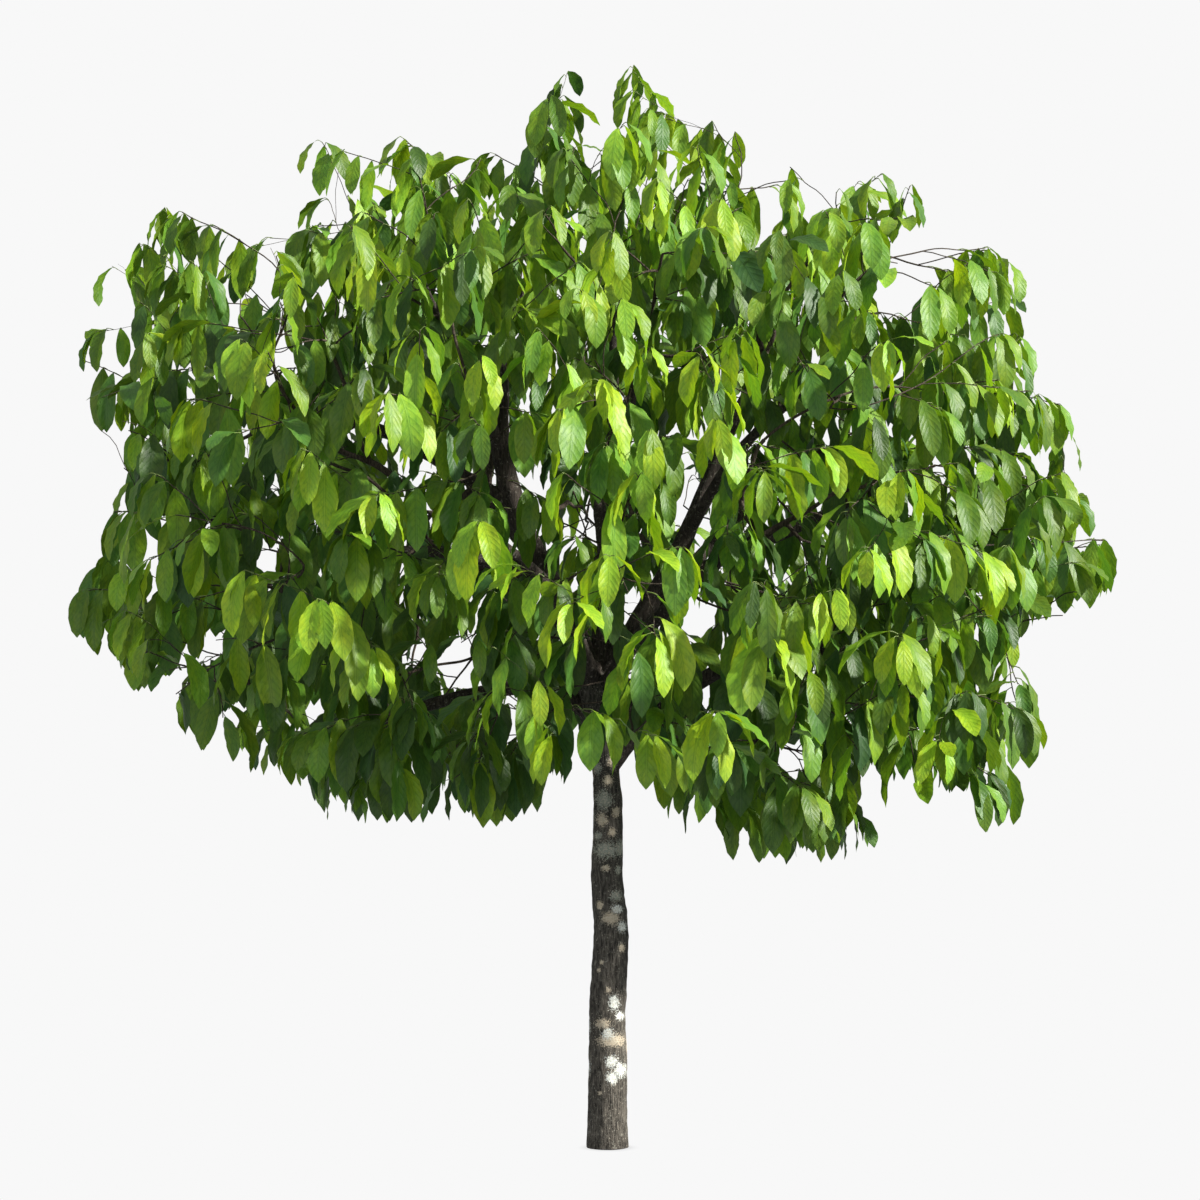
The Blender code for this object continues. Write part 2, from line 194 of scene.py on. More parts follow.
def open_heart(p):
    return ((((p - OPEN_AT) / OPEN_SIZE) ** 2).sum(-1) < 1.0)


def to_px(p):
    """Where points fall in the 1200 px front view."""
    k = -EYE[1] / (p[..., 1] - EYE[1])
    x = 600 + (p[..., 0] - EYE[0]) * k / PX
    y = 600 - (p[..., 2] - EYE[2]) * k / PX
    return np.stack((x, y), -1)


def from_px(x, y, depth):
    k = (depth - EYE[1]) / -EYE[1]
    return np.array((EYE[0] + (x - 600) * PX * k, depth,
                     EYE[2] - (y - 600) * PX * k))


# furthest leaves in the front view from HEART, anticlockwise from the right
EDGE_STEP = 4.0
EDGE = (
        2.25, 2.20, 2.18, 2.18, 2.11, 2.07, 2.13, 2.18, 2.18, 2.15, 1.92, 2.07,
        2.07, 2.01, 1.70, 1.81, 1.80, 1.81, 1.85, 1.86, 1.87, 2.04, 2.06, 1.96,
        2.03, 1.92, 1.74, 1.74, 1.72, 1.93, 1.96, 2.08, 2.16, 2.16, 2.04, 2.03,
        2.49, 2.55, 2.56, 2.57, 2.51, 2.53, 2.54, 2.41, 2.29, 2.30, 2.32, 2.50,
        2.56, 2.50, 2.42, 2.22, 2.23, 2.13, 2.08, 1.91, 1.97, 1.98, 1.97, 1.81,
        1.66, 1.60, 1.57, 1.56, 1.49, 1.36, 1.15, 1.72, 1.72, 1.29, 1.47, 1.68,
        1.72, 1.73, 1.86, 1.93, 1.96, 1.98, 1.91, 1.95, 2.36, 2.43, 2.26, 2.29,
        2.18, 2.07, 2.05, 2.30, 2.42, 2.41)
# open sky through the crown, and places where the limbs show in front,
# as centre and half sizes in the front view
SKY_GAPS = ((590, 527, 11, 11), (630, 617, 8, 19), (700, 620, 16, 8),
            (455, 666, 15, 9), (706, 688, 9, 8),
            (265, 285, 11, 9), (232, 318, 9, 8), (243, 452, 8, 11),
            (686, 492, 7, 11), (577, 768, 8, 24), (630, 766, 5, 14),
            (930, 256, 24, 10), (952, 226, 14, 18), (118, 303, 12, 13),
            (116, 460, 10, 26), (1034, 655, 12, 26), (868, 792, 8, 8),
            (955, 806, 18, 9), (752, 176, 10, 10), (816, 200, 14, 9),
            (242, 230, 14, 8), (594, 106, 8, 8), (335, 216, 15, 11),
            (790, 763, 16, 6), (172, 688, 9, 7), (152, 560, 9, 7),
            (285, 365, 9, 7), (270, 565, 6, 9), (515, 720, 6, 9),
            (215, 652, 13, 7), (915, 284, 25, 6), (882, 297, 10, 6),
            (60, 350, 12, 20), (770, 210, 10, 8))
WINDOWS = ((598, 668, 13, 24), (503, 450, 8, 34), (655, 602, 6, 20), (440, 692, 22, 4))


def edge_room(p):
    """How far points stand inside the outline of the front view."""
    px = to_px(p)
    x = (px[..., 0] - AXIS_PX) * PX
    z = (GROUND_PX - px[..., 1]) * PX - HEART[2]
    t = (np.degrees(np.arctan2(z, x)) % 360.0) / EDGE_STEP
    i = np.floor(t).astype(int)
    f = t - i
    e = np.array(EDGE)
    return e[i % len(e)] * (1 - f) + e[(i + 1) % len(e)] * f - np.hypot(x, z)


def in_spots(p, spots, grow_x=0.0, grow_y=0.0):
    """Whether points fall in any of the ellipses of the front view."""
    px = to_px(p)
    out = np.zeros(px.shape[:-1], bool)
    for x, y, rx, ry in spots:
        out |= (((px[..., 0] - x) / (rx + grow_x)) ** 2
                + ((px[..., 1] - y) / (ry + grow_y)) ** 2) < 1
    return out


# ----------------------------------------------------------- branching -----
class Tree:
    """Limbs as chains of points; each chain springs from a point of another."""

    def __init__(self):
        self.chains = []
        self.pos = np.zeros((0, 3))
        self.dir = np.zeros((0, 3))
        self.who = np.zeros((0, 2), int)
        self.far = np.zeros(0)
        self.room = np.zeros(0)

    def add(self, points, level, parent=-1, at=0, radii=None, joinable=(0.0, 1.0),
            name=""):
        points = np.asarray(points, float)
        step = np.linalg.norm(np.diff(points, axis=0), axis=1)
        s = np.concatenate(([0], np.cumsum(step)))
        d = unit(np.gradient(points, axis=0))
        base = 0.0
        if parent >= 0:
            base = self.chains[parent]["far"][at]
        n = len(self.chains)
        self.chains.append({"p": points, "s": s, "d": d, "level": level,
                            "parent": parent, "at": at, "far": base + s,
                            "fixed": radii, "kids": [], "name": name})
        if parent >= 0:
            self.chains[parent]["kids"].append((n, at))
        share = s / max(s[-1], 1e-6)
        ok = (share >= joinable[0]) & (share <= joinable[1])
        idx = np.nonzero(ok)[0]
        self.pos = np.concatenate((self.pos, points[idx]))
        self.dir = np.concatenate((self.dir, d[idx]))
        self.who = np.concatenate((self.who, np.stack((np.full(len(idx), n), idx), 1)))
        self.far = np.concatenate((self.far, base + s[idx]))
        return n

    def best_join(self, target, heed_path, levels=None):
        v = target - self.pos
        dist = np.linalg.norm(v, axis=1)
        cosine = (v * self.dir).sum(1) / np.maximum(dist, 1e-6)
        cost = dist * (1 + 1.3 * np.clip(0.45 - cosine, 0, None)) + heed_path * self.far
        cost = cost + np.where(dist < 0.10, 1.5, 0)
        k = int(np.argmin(cost))
        return k, dist[k], cosine[k]


def grow_curve(p0, d0, p1, d1, rng, wobble=0.03, step=0.045, lift=0.0):
    """A limb that leaves p0 along d0 and arrives at p1 along d1."""
    length = np.linalg.norm(p1 - p0)
    n = max(4, int(math.ceil(length * 1.08 / step)))
    t = np.linspace(0, 1, n + 1)[:, None]
    m0, m1 = d0 * length * 0.95, d1 * length * 0.85
    h = ((2 * t ** 3 - 3 * t ** 2 + 1) * p0 + (t ** 3 - 2 * t ** 2 + t) * m0
         + (-2 * t ** 3 + 3 * t ** 2) * p1 + (t ** 3 - t ** 2) * m1)
    side = unit(np.cross(p1 - p0, rng.normal(size=3)))
    other = unit(np.cross(p1 - p0, side))
    env = np.sin(np.pi * t) ** 0.8
    a, b = rng.uniform(0, 6.28, 2)
    k1, k2 = rng.uniform(5, 9), rng.uniform(9, 15)
    h = h + env * length * wobble * (side * np.sin(k1 * t + a)
                                     + other * 0.7 * np.sin(k2 * t + b))
    h[:, 2:3] += lift * env * length
    return h


def spaced(points, gap, keep_first=0):
    kept = list(points[:keep_first])
    grid = {}

    def key(p):
        return tuple(np.floor(p / gap).astype(int))
    for p in kept:
        grid.setdefault(key(p), []).append(p)
    for p in points[keep_first:]:
        kx, ky, kz = key(p)
        near = [q for i in (-1, 0, 1) for j in (-1, 0, 1) for k in (-1, 0, 1)
                for q in grid.get((kx + i, ky + j, kz + k), ())]
        if near and np.min(np.linalg.norm(np.array(near) - p, axis=1)) < gap:
            continue
        kept.append(p)
        grid.setdefault(key(p), []).append(p)
    return np.array(kept)


def outward(p):
    """The way shoots point at p: away from the heart, level or rising."""
    v = unit(p - HEART)
    up = np.zeros_like(v)
    up[..., 2] = np.where(v[..., 2] > 0.35, 0.45, np.where(v[..., 2] < -0.3, 0.30, 0.18))
    return unit(v * np.array((1, 1, 0.75)) + up)


# furthest shoots of the outline, as they stand in the front view
OUTER_SHOOTS = (
    (633, 66), (637, 92), (641, 122), (567, 73), (560, 100), (662, 112), (714, 124), (735, 132), (790, 167), (880, 175),
    (910, 186), (858, 182), (495, 154), (480, 160), (405, 140), (428, 155), (322, 142),
    (338, 152), (270, 238), (165, 208), (178, 218), (118, 264), (100, 332),
    (82, 360), (135, 300), (124, 468), (114, 512), (98, 572), (84, 592), (128, 604),
    (182, 684), (203, 708), (235, 655), (340, 776), (368, 778), (400, 765), (500, 772),
    (520, 765), (545, 700), (990, 250), (1004, 262), (1010, 300), (1018, 335), (1037, 395),
    (1060, 405), (1066, 436), (1074, 486), (1106, 541), (1098, 545), (1088, 553), (1060, 545),
    (1012, 632), (1018, 684), (990, 776), (1008, 780), (962, 745), (705, 800), (740, 806),
    (770, 812), (795, 812), (820, 805), (848, 814), (560, 132), (440, 164), (905, 200), (1022, 712),
    (950, 272), (240, 252), (520, 172), (905, 742), (930, 745), (655, 700), (690, 760),
    (450, 175), (300, 250), (110, 620), (150, 640), (128, 270), (112, 266), (250, 735),
    (235, 728), (270, 735),
)
# long twigs that run in the open: two ends in the front view, with their depths
RUNS = (
    (802, 540, -1.15, 1104, 540, -0.35), (764, 440, -1.45, 1030, 391, -0.75),
    (830, 408, -1.40, 1000, 334, -0.90), (852, 284, -1.10, 985, 248, -0.60),
    (480, 470, -1.55, 392, 494, -1.80), (455, 566, -1.30, 398, 552, -1.75),
    (560, 522, -1.20, 474, 508, -1.60), (600, 574, -1.25, 660, 640, -1.65),
    (752, 752, -1.10, 826, 792, -1.05), (441, 698, -0.90, 352, 728, -1.10),
    (290, 292, -0.90, 182, 212, -0.70), (300, 560, -1.30, 132, 512, -0.80),
    (235, 656, -0.80, 176, 694, -0.60), (700, 600, -1.30, 798, 628, -1.60),
)
# sprays on the front of the crown that the sun lights; their leaves get the lightest tone, partly painted light
FRONT_SHOOTS = (
    (388, 394), (243, 340), (268, 352), (537, 680), (600, 714), (718, 712), (480, 522),
    (764, 472), (826, 212), (868, 552), (470, 200), (548, 208), (700, 352), (655, 636),
    (940, 742), (936, 288), (985, 556), (826, 448), (482, 356), (378, 494), (372, 648),
    (250, 572), (612, 232), (598, 610), (905, 470), (720, 200), (660, 180), (835, 590),
    (420, 330), (150, 560), (190, 400), (560, 410), (770, 640), (900, 640), (320, 600),
    (553, 736), (652, 736), (305, 450), (650, 430), (640, 474), (610, 556), (682, 548),
    (572, 604), (566, 474), (520, 566), (715, 420), (600, 380), (540, 330), (620, 300), (745, 330), (890, 340), (350, 225), (580, 290), (150, 640),
)


def grow():
    rng = np.random.default_rng(SEED)
    tree = Tree()
    heights = np.linspace(0, TRUNK_TOP - 0.02, 60)
    middle = np.array([trunk_path(h) for h in heights])
    trunk = tree.add(middle, 0, radii=np.array([trunk_radius(h) for h in heights]),
                     joinable=(0.97, 1.0), name="trunk")
    ids, paths = {"trunk": trunk}, {}
    for row, (name, parent, share, heading, swing, p0, p1, p2,
              length, d0, d1) in enumerate(BOUGHS):
        r = random.Random(SEED + 200 + row)
        if parent == "trunk":
            start = trunk_path(TRUNK_TOP * share)
            at = int(np.argmin(np.abs(heights - TRUNK_TOP * share)))
        else:
            start = along(paths[parent], share)
            at = int(round(share * 48))
        pts = limb_path(start, heading, swing, (p0, p1, p2), length, r)
        paths[name] = pts
        t = np.linspace(0, 1, len(pts))
        radii = 0.5 * (d0 + (d1 - d0) * t) * (1 + 0.28 * np.exp(-t * length / 0.10))
        ids[name] = tree.add(pts, 1, parent=ids[parent], at=at, radii=radii,
                             joinable=(0.22, 1.0), name=name)

    # middle limbs to evenly spread hubs inside the leaves
    cand = unit(rng.normal(size=(6000, 3)))
    r = reach(cand) * rng.uniform(0.42, 0.80, len(cand))
    hubs = HEART + cand * r[:, None]
    ok = ~((((hubs - OPEN_AT) / (OPEN_SIZE * 0.86)) ** 2).sum(1) < 1)
    ok &= (hubs[:, 2] > 1.75) & (np.hypot(hubs[:, 0], hubs[:, 1]) > 0.35)
    hubs = spaced(hubs[ok], 0.56)
    fork = np.array((-0.04, 0.0, 2.1))
    hubs = hubs[np.argsort(np.linalg.norm(hubs - fork, axis=1))]
    for h in hubs:
        k, dist, cosine = tree.best_join(h, 0.10)
        start, d = tree.pos[k], tree.dir[k]
        v = unit(h - start)
        across = unit(v - d * (v @ d))
        angle = math.radians(rng.uniform(26, 48)) * min(1.0, math.acos(
            max(-1, min(1, float(v @ d)))) / 0.5)
        d0 = unit(d * math.cos(angle) + across * math.sin(angle))
        d1 = unit(0.6 * v + 0.5 * outward(h))
        pts = grow_curve(start, d0, h, d1, rng, 0.022, lift=0.02)
        tree.add(pts, 2, parent=tree.who[k, 0], at=tree.who[k, 1],
                 joinable=(0.12, 1.0))

    runs = []
    for x0, y0, depth0, x1, y1, depth1 in RUNS:
        a, b = from_px(x0, y0, depth0), from_px(x1, y1, depth1)
        k = tree.best_join(a, 0.06)[0]
        v, run = unit(a - tree.pos[k]), unit(b - a)
        pts = grow_curve(tree.pos[k], unit(tree.dir[k] + v), a, unit(v + run), rng, 0.02)
        n = tree.add(pts, 2, parent=tree.who[k, 0], at=tree.who[k, 1], joinable=(0.2, 0.9))
        pts = grow_curve(a, unit(v + run), b, run, rng, 0.010, lift=0.015)
        n = tree.add(pts, 3, parent=n, at=len(tree.chains[n]["p"]) - 1, joinable=(0.2, 0.5))
        tree.chains[n]["kind"] = 0
        runs.append(n)

    # shoots to the outline, and a second layer of them further in
    tips = [from_px(x, y, rng.uniform(-0.45, 0.45)) for x, y in OUTER_SHOOTS]
    kinds = [1] * len(tips)
    for x, y in FRONT_SHOOTS:
        line = np.array([from_px(x, y, k) for k in np.linspace(-2.4, -0.2, 90)])
        v = line - HEART
        inside = np.nonzero(np.linalg.norm(v, axis=1) < reach(unit(v)) * 0.97)[0]
        if len(inside):
            tips.append(line[inside[0]])
            kinds.append(2)
    first = len(tips)
    cand = unit(rng.normal(size=(30000, 3)))
    layer = rng.uniform(0, 1, len(cand))
    share = np.where(layer < 0.66, rng.uniform(0.86, 1.0, len(cand)),
                     rng.uniform(0.58, 0.86, len(cand)))
    r = reach(cand) * share - 0.06
    pts = HEART + cand * r[:, None]
    pts[:, 2] += np.where(cand[:, 2] < 0, 0.20 * np.clip(-cand[:, 2] * 1.6, 0, 1), 0)
    ok = ~open_heart(pts) & (np.hypot(pts[:, 0], pts[:, 1]) > 0.30) & (pts[:, 2] > 1.5)
    ok &= (edge_room(pts) > 0.05) & ~in_spots(pts, SKY_GAPS, 6, 4)
    tips = spaced(np.concatenate((np.array(tips), pts[ok])), SHOOT_GAP, first)
    order = np.argsort(np.linalg.norm(tips - fork, axis=1))
    kinds = np.array(kinds + [0] * (len(tips) - first))[order]
    tips = tips[order]
    shoots = list(runs)
    for q, kind in zip(tips, kinds):
        k, dist, cosine = tree.best_join(q, 0.06)
        start, d = tree.pos[k], tree.dir[k]
        v = unit(q - start)
        across = unit(v - d * (v @ d))
        angle = math.radians(rng.uniform(30, 55)) * min(1.0, math.acos(
            max(-1, min(1, float(v @ d)))) / 0.6)
        d0 = unit(d * math.cos(angle) + across * math.sin(angle))
        out = outward(q)
        d1 = unit(0.75 * v + 0.45 * out + np.array((0, 0, -0.10)) + rng.normal(size=3) * 0.12)
        pts = grow_curve(start, d0, q, d1, rng, 0.02, lift=0.035)
        n = tree.add(pts, 3, parent=tree.who[k, 0], at=tree.who[k, 1],
                     joinable=(0.15, 0.62))
        tree.chains[n]["kind"] = int(kind)
        shoots.append(n)
    return tree, shoots


SHOOT_GAP = 0.278
TIP_R = 0.0028
PIPE = 2.15


def give_radii(tree):
    """Thickness from the number of shoots that each limb carries."""
    loads = [None] * len(tree.chains)
    for n in range(len(tree.chains) - 1, -1, -1):
        c = tree.chains[n]
        load = np.ones(len(c["p"]))
        for kid, at in c["kids"]:
            load[:at + 1] += loads[kid][0]
        loads[n] = load
        r = TIP_R * load ** (1 / PIPE)
        taper = np.linspace(1.12, 0.92, len(r))
        c["r"] = r * taper
    for n, c in enumerate(tree.chains):
        if c["fixed"] is not None:
            t = np.linspace(0, 1, len(c["r"]))
            s = np.clip((t - 0.72) / 0.28, 0, 1) if c["level"] else t * 0
            thin = np.minimum(c["r"] * 1.25, c["fixed"])
            c["r"] = c["fixed"] * (1 - s) + thin * s
    for c in tree.chains:
        if c["level"] >= 2:
            host = tree.chains[c["parent"]]
            most = 0.72 * host["r"][min(c["at"], len(host["r"]) - 1)]
            base = c["r"][0]
            c["r"] = np.minimum(c["r"], most)
            if c["level"] == 2:
                c["r"] = c["r"] * (1 + 0.35 * np.exp(-c["s"] / 0.04))


# ------------------------------------------------------------- meshes ------
class Bag:
    """Vertices and faces of many small shapes, joined into one mesh."""

    def __init__(self):
        self.v, self.f3, self.f4, self.uv3, self.uv4 = [], [], [], [], []
        self.n = 0

    def add(self, v, f3=None, f4=None, uv3=None, uv4=None):
        self.v.append(v)
        if f3 is not None and len(f3):
            self.f3.append(f3 + self.n)
            if uv3 is not None:
                self.uv3.append(uv3)
        if f4 is not None and len(f4):
            self.f4.append(f4 + self.n)
            if uv4 is not None:
                self.uv4.append(uv4)
        self.n += len(v)

    def mesh(self, name, uv_name=None):
        v = np.concatenate(self.v).astype(np.float32)
        f3 = np.concatenate(self.f3) if self.f3 else np.zeros((0, 3), int)
        f4 = np.concatenate(self.f4) if self.f4 else np.zeros((0, 4), int)
        me = bpy.data.meshes.new(name)
        me.vertices.add(len(v))
        me.vertices.foreach_set("co", v.ravel())
        loops = np.concatenate((f3.ravel(), f4.ravel())).astype(np.int32)
        me.loops.add(len(loops))
        me.loops.foreach_set("vertex_index", loops)
        starts = np.concatenate((np.arange(len(f3)) * 3,
                                 len(f3) * 3 + np.arange(len(f4)) * 4)).astype(np.int32)
        me.polygons.add(len(starts))
        me.polygons.foreach_set("loop_start", starts)
        me.polygons.foreach_set("use_smooth", np.ones(len(starts), bool))
        if uv_name:
            uv = np.concatenate([a.reshape(-1, 2) for a in self.uv3 + self.uv4])
            layer = me.uv_layers.new(name=uv_name)
            layer.uv.foreach_set("vector", uv.astype(np.float32).ravel())
        me.update(calc_edges=True)
        me.validate()
        return me


def frames(points):
    """Tangent, side and third direction along a line, without twisting."""
    t = unit(np.gradient(points, axis=0))
    side = np.zeros_like(t)
    s = np.cross(t[0], (0.31, 0.95, 0.12))
    for i in range(len(t)):
        s = s - t[i] * (s @ t[i])
        s = s / max(np.linalg.norm(s), 1e-9)
        side[i] = s
    return t, side, np.cross(t, side)


def tube(bag, points, radii, sides, cap=True, relief=None, uv_scale=None):
    t, a, b = frames(points)
    k = np.arange(sides) * 2 * np.pi / sides
    ring = (a[:, None, :] * np.cos(k)[None, :, None]
            + b[:, None, :] * np.sin(k)[None, :, None])
    r = radii[:, None] * np.ones(sides)[None, :]
    if relief is not None:
        r = r + relief(points, k, radii)
    v = (points[:, None, :] + ring * r[:, :, None]).reshape(-1, 3)
    n = len(points)
    i, j = np.meshgrid(np.arange(n - 1), np.arange(sides), indexing="ij")
    jn = (j + 1) % sides
    f4 = np.stack((i * sides + j, i * sides + jn, (i + 1) * sides + jn,
                   (i + 1) * sides + j), -1).reshape(-1, 4)
    f3 = None
    if cap:
        v = np.concatenate((v, points[-1:] + t[-1] * radii[-1] * 0.6))
        tip = n * sides
        q = np.arange(sides)
        f3 = np.stack(((n - 1) * sides + q, (n - 1) * sides + (q + 1) % sides,
                       np.full(sides, tip)), -1)
    bag.add(v, f3, f4)


def thin_out(points, radii, gap):
    """Fewer rings on thin twigs, all of the bends kept."""
    s = np.concatenate(([0], np.cumsum(np.linalg.norm(np.diff(points, axis=0), axis=1))))
    n = max(3, int(round(s[-1] / gap)) + 1)
    at = np.linspace(0, s[-1], n)
    out = np.stack([np.interp(at, s, points[:, i]) for i in range(3)], 1)
    return out, np.interp(at, s, radii)


# -------------------------------------------------------------- leaves -----
LEAF_ROWS = np.array((0.0, 0.045, 0.12, 0.20, 0.285, 0.37, 0.455, 0.54, 0.625, 0.71,
                      0.79, 0.865, 0.925, 0.965, 1.0))
LEAF_COLS = np.array((-1.0, -0.52, 0.0, 0.52, 1.0))


def leaf_width(t):
    """Half width along the leaf, 1 at the widest: a cacao leaf's outline."""
    body = np.sin(np.pi * np.clip(t, 0, 1) ** 1.14) ** 0.64
    drip = 1 - np.clip((t - 0.87) / 0.13, 0, 1) ** 1.0 * 0.46
    taper = 1 - 0.25 * np.clip((0.25 - t) / 0.25, 0, 1)
    return body * drip * taper


def centre_lines(base, head, pitch0, pitch1, length, sway, fine):
    """Midribs: they leave the stalk at pitch0 and bend down to pitch1."""
    tt = np.linspace(0, 1, fine)
    pitch = pitch0[:, None] + (pitch1 - pitch0)[:, None] * (tt ** 0.62)[None, :]
    turn = sway[:, None] * tt[None, :] ** 1.5
    hx, hy = head[:, 0:1], head[:, 1:2]
    cx = hx * np.cos(turn) - hy * np.sin(turn)
    cy = hx * np.sin(turn) + hy * np.cos(turn)
    d = np.stack((cx * np.cos(pitch), cy * np.cos(pitch), np.sin(pitch)), -1)
    step = length[:, None, None] / (fine - 1)
    line = np.concatenate((np.zeros((len(base), 1, 3)),
                           np.cumsum(0.5 * (d[:, 1:] + d[:, :-1]) * step, axis=1)), 1)
    return line + base[:, None, :], d, cx, cy


def leaf_meshes(bag, base, head, pitch0, pitch1, length, width, roll, twist, fold,
                wave, phase, sway, cell):
    """Adds n leaves: base (n,3), head (n,3) level heading, the rest (n,)."""
    n = len(base)
    rows, cols = len(LEAF_ROWS), len(LEAF_COLS)
    fine = 29
    line, d, cx, cy = centre_lines(base, head, pitch0, pitch1, length, sway, fine)
    at = LEAF_ROWS * (fine - 1)
    i0 = np.minimum(at.astype(int), fine - 2)
    fr = (at - i0)[None, :, None]
    mid = line[:, i0] * (1 - fr) + line[:, i0 + 1] * fr
    tan = unit(d[:, i0] * (1 - fr) + d[:, i0 + 1] * fr)
    side0 = np.stack((-cy[:, i0], cx[:, i0], np.zeros((n, rows))), -1)
    side0 = unit(side0)
    nor0 = np.cross(tan, side0)
    nor0 = nor0 * np.sign(nor0[..., 2:3] + 1e-9 + 0 * nor0[..., 2:3])
    # the upper face looks away from the way the blade droops
    up = np.cross(side0, tan)
    up = -up
    bank = roll[:, None] + twist[:, None] * LEAF_ROWS[None, :]
    ca, sa = np.cos(bank)[..., None], np.sin(bank)[..., None]
    side = side0 * ca + up * sa
    nor = up * ca - side0 * sa
    w = leaf_width(LEAF_ROWS)[None, :] * width[:, None] * 0.5
    c = LEAF_COLS[None, None, :]
    f = fold[:, None, None] * (0.55 + 0.45 * np.sin(np.pi * LEAF_ROWS))[None, :, None]
    x = c * w[:, :, None] * np.cos(f)
    lift = np.abs(c) * w[:, :, None] * np.sin(f)
    lift = lift - 0.10 * w[:, :, None] * c ** 2
    ripple = np.sin(LEAF_ROWS[None, :, None] * wave[:, None, None] * 2 * np.pi
                    + phase[:, None, None] + np.sign(c) * 1.1)
    lift = lift + ripple * np.abs(c) ** 2 * w[:, :, None] * 0.115
    rim = 1 + 0.018 * np.sin(LEAF_ROWS[None, :, None] * 61 + 7 * phase[:, None, None]
                             + 2.0 * np.sign(c)) * np.abs(c)
    v = mid[:, :, None, :] + side[:, :, None, :] * (x * rim)[..., None] \
        + nor[:, :, None, :] * lift[..., None]
    # first and last row close to a point
    body = v[:, 1:-1].reshape(n, (rows - 2) * cols, 3)
    verts = np.concatenate((mid[:, :1], body, mid[:, -1:]), 1)
    per = verts.shape[1]
    m = rows - 2
    quads = []
    for i in range(m - 1):
        for j in range(cols - 1):
            a = 1 + i * cols + j
            quads.append((a, a + 1, a + cols + 1, a + cols))
    tris = []
    for j in range(cols - 1):
        tris.append((0, 1 + j + 1, 1 + j))
        e = 1 + (m - 1) * cols + j
        tris.append((e, e + 1, per - 1))
    quads, tris = np.array(quads), np.array(tris)
    # place in the cell: across and along the blade
    u = np.concatenate(((0.0,), np.tile(LEAF_COLS, m), (0.0,)))
    vv = np.concatenate(((0.0,), np.repeat(LEAF_ROWS[1:-1], cols), (1.0,)))
    ww = np.concatenate(((0.0,), np.repeat(leaf_width(LEAF_ROWS)[1:-1], cols), (0.0,)))
    local = np.stack((0.5 + 0.44 * u * ww, 0.04 + 0.92 * vv), -1)
    cu, cv = (cell % CELLS).astype(float), (cell // CELLS).astype(float)
    uv = (local[None] + np.stack((cu, cv), -1)[:, None, :]) / CELLS
    offs = (np.arange(n) * per)[:, None, None]
    bag.add(verts.reshape(-1, 3), (tris[None] + offs).reshape(-1, 3),
            (quads[None] + offs).reshape(-1, 4),
            uv[:, tris].reshape(-1, 3, 2), uv[:, quads].reshape(-1, 4, 2))
    return len(quads) * 2 + len(tris)


CELLS = 4


def place_leaves(tree, shoots):
    """Where every leaf sits on its shoot, and how it hangs."""
    rng = np.random.default_rng(SEED + 9)
    rows = []
    for n in shoots:
        c = tree.chains[n]
        total = c["s"][-1]
        tip = c["p"][-1]
        kids_at = [c["s"][at] for _, at in c["kids"]]
        bare = 0.0
        if kids_at:
            bare = min(max(kids_at) * 0.6, total * 0.4)
        low = (tip[2] - 1.4) / 3.4
        size = 0.292 - 0.052 * np.clip(low, 0, 1)
        size *= rng.uniform(0.86, 1.12)
        if c["kind"] == 2:
            size *= 1.02
        start = max(total * 0.2, total - (0.30 if c["kind"] == 2 else 0.52), bare)
        s = total - 0.004
        spot = []
        gap = 0.014
        while s > start:
            spot.append(s)
            s -= gap * rng.uniform(0.8, 1.25)
            gap = min(gap * 1.5, 0.082)
        spot = np.array(spot)
        # tone of the spray: lighter outside, above and on the front sprays, darker inside; this is leaf age together
        # with painted light, the sunlit outside and painted shade on the crown's inside
        v = tip - HEART
        dist = np.linalg.norm(v)
        rel = dist / reach(unit(v)[None])[0]
        fresh_and_lit = 1.6 * (rel - 0.85) + 0.35 * unit(v)[2] + rng.normal() * 0.35
        # sprays on the sunlit front get light tones, partly painted light
        if c["kind"] == 2:
            fresh_and_lit = max(fresh_and_lit, 1.0) + 0.4
        spin = rng.uniform(0, 6.28)
        flip = 1 if rng.uniform() < 0.5 else -1
        for k, s in enumerate(spot):
            age = k / 8.0
            p = np.array([np.interp(s, c["s"], c["p"][:, i]) for i in range(3)])
            d = np.array([np.interp(s, c["s"], c["d"][:, i]) for i in range(3)])
            d = unit(d)
            flat = np.array((d[0], d[1], 0.0))
            steep = abs(d[2])
            if k == 0:
                turn = rng.normal() * 0.35
            else:
                turn = (1 if k % 2 else -1) * flip * rng.uniform(0.55, 1.45)
            if steep > 0.80 or np.linalg.norm(flat) < 0.2:
                ang = spin + k * 2.4 + rng.normal() * 0.3
            else:
                ang = math.atan2(flat[1], flat[0]) + turn
            head = np.array((math.cos(ang), math.sin(ang), 0.0))
            leaf = size * rng.uniform(0.82, 1.14) * (0.80 + 0.25 * min(1, age * 2.2))
            rows.append((p, d, head, leaf, age, fresh_and_lit, n, k, rng.uniform()))
    return rows


